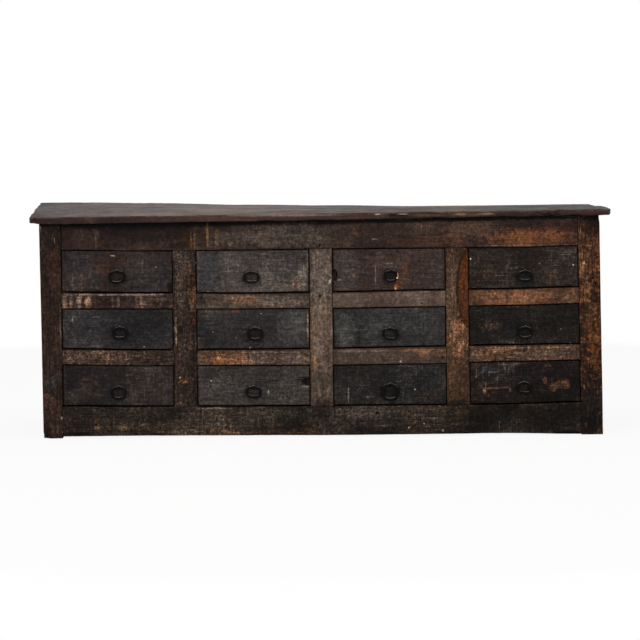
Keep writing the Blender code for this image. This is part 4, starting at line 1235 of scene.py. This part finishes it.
# Frame and panel ends and their back posts are finished outside, runners and guides are bare
def makeEnds():
    inner = agedWood("runner_wood", 215, grain="y", **insideLook)
    places = carcassPlaces
    start, stop = layout["postBackY"] + places["joint"], places["backPostStart"]
    topRail, bottomRail = layout["railTops"][0], layout["bottomRail"]
    for side, label in ((-1, "left"), (1, "right")):
        def inward(key):
            return sorted(side * (layout["endX"] - distance) for distance in places[key])

        rail, panel, post = inward("endRail"), inward("endPanel"), inward("backPost")
        rails = [
            ((rail[0], start, topRail), (rail[1], stop, layout["postHeight"] - places["postDrop"])),
            ((rail[0], start, bottomRail[0]), (rail[1], stop, bottomRail[1])),
        ]
        low, high = bottomRail[1] - places["tongue"], topRail + places["tongue"]
        panels = [((panel[0], start, low), (panel[1], stop, high))]
        posts = [((post[0], stop, 0), (post[1], places["backPostEnd"], layout["postHeight"]))]
        seed = 800 + side * 40
        name = "end_frame_" + label
        fitBoards(name + "_rails", rails, agedWood(name + "_rail_wood", seed, grain="y", **endLook), seed, name)
        wood = agedWood(name + "_panel_wood", seed + 1, grain="z", **endLook)
        fitBoards(name + "_panel", panels, wood, seed + 11, wave=0.0012)
        wood = agedWood(name + "_post_wood", seed + 2, grain="z", **endLook)
        fitBoards(name + "_post", posts, wood, seed + 17, step=0.012)
        runners = runnersFor(inward("endRunner"), inward("endGuide"), start, stop)
        fitBoards(name + "_runners", runners, inner, seed + 23)
    print("ends made")


def makePartitions():
    wood = agedWood("partition_wood", 211, grain="y", **insideLook)
    places = carcassPlaces
    start, stop = layout["frameBackY"] + places["joint"], places["backPostEnd"]
    for i in range(3):
        middle = (layout["columns"][i][1] + layout["columns"][i + 1][0]) / 2
        web = places["web"]
        boards = [((middle - web, start, places["webLow"]), (middle + web, stop, layout["postHeight"]))]
        for side in (-1, 1):
            runner = sorted((middle + side * web, middle + side * places["webRunner"]))
            guide = sorted((middle + side * web, middle + side * places["webGuide"]))
            boards += runnersFor(runner, guide, start, stop)
        fitBoards(f"partition_{i + 1}_boards", boards, wood, 900 + i * 90, f"partition_{i + 1}")
    print("partitions made")


def makeBack():
    edges, gap = carcassPlaces["planks"], carcassPlaces["plankGap"]
    for i, (cool, warm) in enumerate(plankTones):
        plank = ((-layout["endX"], layout["backInnerY"], edges[i] + gap),
                 (layout["endX"], layout["backY"], edges[i + 1] - gap))
        wood = agedWood(f"back_wood_{i + 1}", 220 + i, grain="x", **{**backLook, "cool": cool, "warm": warm})
        node = {0: "back_planks_lower", 2: "back_planks_upper"}.get(i, "")
        fitBoards(f"back_plank_{i + 1}", [plank], wood, 1200 + i * 15, node, step=0.014, wave=0.0012)
    print("back made")


# Nails: low hammered heads on the back planks and on the face frame
nailLook = {"head": 0.0045, "rise": 0.0012, "sides": 10, "endX": 1.101, "shares": (0.22, 0.78), "stray": 0.006}
frontNails = ((319.7, 245), (320, 296), (377.5, 412.7), (593, 278), (442.5, 357.5), (96, 425), (318, 425))


def nailHead(shape, place, way, dice):
    size = nailLook["head"] * dice.uniform(0.85, 1.15)
    rings = []
    for reach, rise in ((1.0, -0.4), (1.0, 0.35), (0.72, 0.85)):
        ring = []
        for step in range(nailLook["sides"]):
            angle = 2 * math.pi * step / nailLook["sides"] + dice.uniform(-0.08, 0.08)
            spot = (place[0] + math.cos(angle) * size * reach, place[1] + way * nailLook["rise"] * rise,
                    place[2] + math.sin(angle) * size * reach)
            ring.append(shape.verts.new(spot))
        rings.append(ring)
    for low, high in zip(rings, rings[1:]):
        for i in range(nailLook["sides"]):
            shape.faces.new((low[i], low[i - 1], high[i - 1], high[i]))
    shape.faces.new(rings[0])
    shape.faces.new(rings[-1])


def makeNails():
    dice = random.Random(77)
    shape = bmesh.new()
    middles = [(layout["columns"][i][1] + layout["columns"][i + 1][0]) / 2 for i in range(3)]
    spots = []
    for low, high in zip(carcassPlaces["planks"], carcassPlaces["planks"][1:]):
        for x in (-nailLook["endX"], *middles, nailLook["endX"]):
            for share in nailLook["shares"]:
                across = x + dice.uniform(-nailLook["stray"], nailLook["stray"])
                spots.append((across, layout["backY"], low + share * (high - low)))
    for place in settled(np.array(spots)):
        nailHead(shape, place, 1, dice)
    for u, v in frontNails:
        x, z = onFront(u, v)
        nailHead(shape, (x, layout["frontY"], z), -1, dice)
    made = wear(shapeObject("nails", shape), wroughtIron("nail_iron"))
    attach(made, "carcass")
    print("nails made")


studio = {
    "worldForObject": 0.36,
    "aim": (0, 0, 0.45),
    "lamps": {
        "key": {"place": (-2.6, -5.2, 3.6), "size": (2.6, 2.0), "power": 112},
        "fill": {"place": (3.4, -5.0, 2.2), "size": (2.4, 2.0), "power": 62},
        "above": {"place": (0.2, -0.6, 4.2), "size": (4.0, 2.6), "power": 62},
    },
    "floor": "f4f3f1",
    "floorHalf": 14,  # metres from the middle to an edge
    "floorGlow": 0.9,  # how much of the background's white the camera sees in the floor near the object
    "fullGlow": (1.6, 3.4),  # it rises to 1 between these distances from the middle
}


# White world for the camera, gloss and glass, and a dim one for the light on the object
def makeWorld():
    world = bpy.data.worlds.new("studio")
    bpy.context.scene.world = world
    world.use_nodes = True
    tree = world.node_tree
    background = tree.nodes["Background"]
    seen = [addNode(tree, "LightPath", {}, ray) for ray in
            ("Is Camera Ray", "Is Glossy Ray", "Is Transmission Ray")]
    either = addNode(tree, "Math", {0: seen[0], 1: seen[1]}, operation="MAXIMUM")
    either = addNode(tree, "Math", {0: either, 1: seen[2]}, operation="MAXIMUM")
    strength = addNode(tree, "MapRange", {0: either, 3: studio["worldForObject"], 4: 1.0})
    tree.links.new(strength, background.inputs["Strength"])
    background.inputs["Color"].default_value = (1, 1, 1, 1)


def makeLamps():
    for name, lamp in studio["lamps"].items():
        light = bpy.data.lights.new(name, "AREA")
        light.shape = "RECTANGLE"
        light.size, light.size_y = lamp["size"]
        light.energy = lamp["power"]
        made = addObject(name, light)
        made.location = lamp["place"]
        aim = Vector(studio["aim"]) - made.location
        made.rotation_euler = aim.to_track_quat("-Z", "Y").to_euler()


# Matt painted studio floor: even and pale, and far from the object as white as the background
def makeFloor():
    shape = bmesh.new()
    bmesh.ops.create_grid(shape, x_segments=24, y_segments=24, size=studio["floorHalf"])
    floor = shapeObject("floor", shape, closed=False)
    material, tree, surface = newMaterial("floor_paint")
    surface.inputs["Base Color"].default_value = linearColour(studio["floor"])
    surface.inputs["Roughness"].default_value = 0.9
    surface.inputs["Specular IOR Level"].default_value = 0.0
    glow = addNode(tree, "Emission", {"Color": (1, 1, 1, 1), "Strength": 1.0})
    place = addNode(tree, "TexCoord", {}, "Object")
    far = addNode(tree, "VectorMath", {0: place}, "Value", operation="LENGTH")
    near, white = studio["fullGlow"]
    far = addNode(tree, "MapRange", {0: far, 1: near, 2: white}, interpolation_type="SMOOTHSTEP")
    far = addNode(tree, "Math", {0: far, 1: studio["floorGlow"]}, operation="MAXIMUM")
    share = addNode(tree, "Math", {0: far, 1: addNode(tree, "LightPath", {})}, operation="MULTIPLY")
    both = addNode(tree, "MixShader", {0: share, 1: surface.outputs[0], 2: glow})
    tree.links.new(both, tree.nodes["Material Output"].inputs["Surface"])
    wear(floor, material)


def makeStudio():
    makeWorld()
    makeLamps()
    makeFloor()
    print("studio made")


makeCamera()
makeFaceFrame()
makeTop()
makeDrawerFronts()
makeDrawerBoxes()
makeIron()
makeEnds()
makePartitions()
makeBack()
makeNails()
makeStudio()
bpy.context.scene.view_settings.view_transform = "Standard"
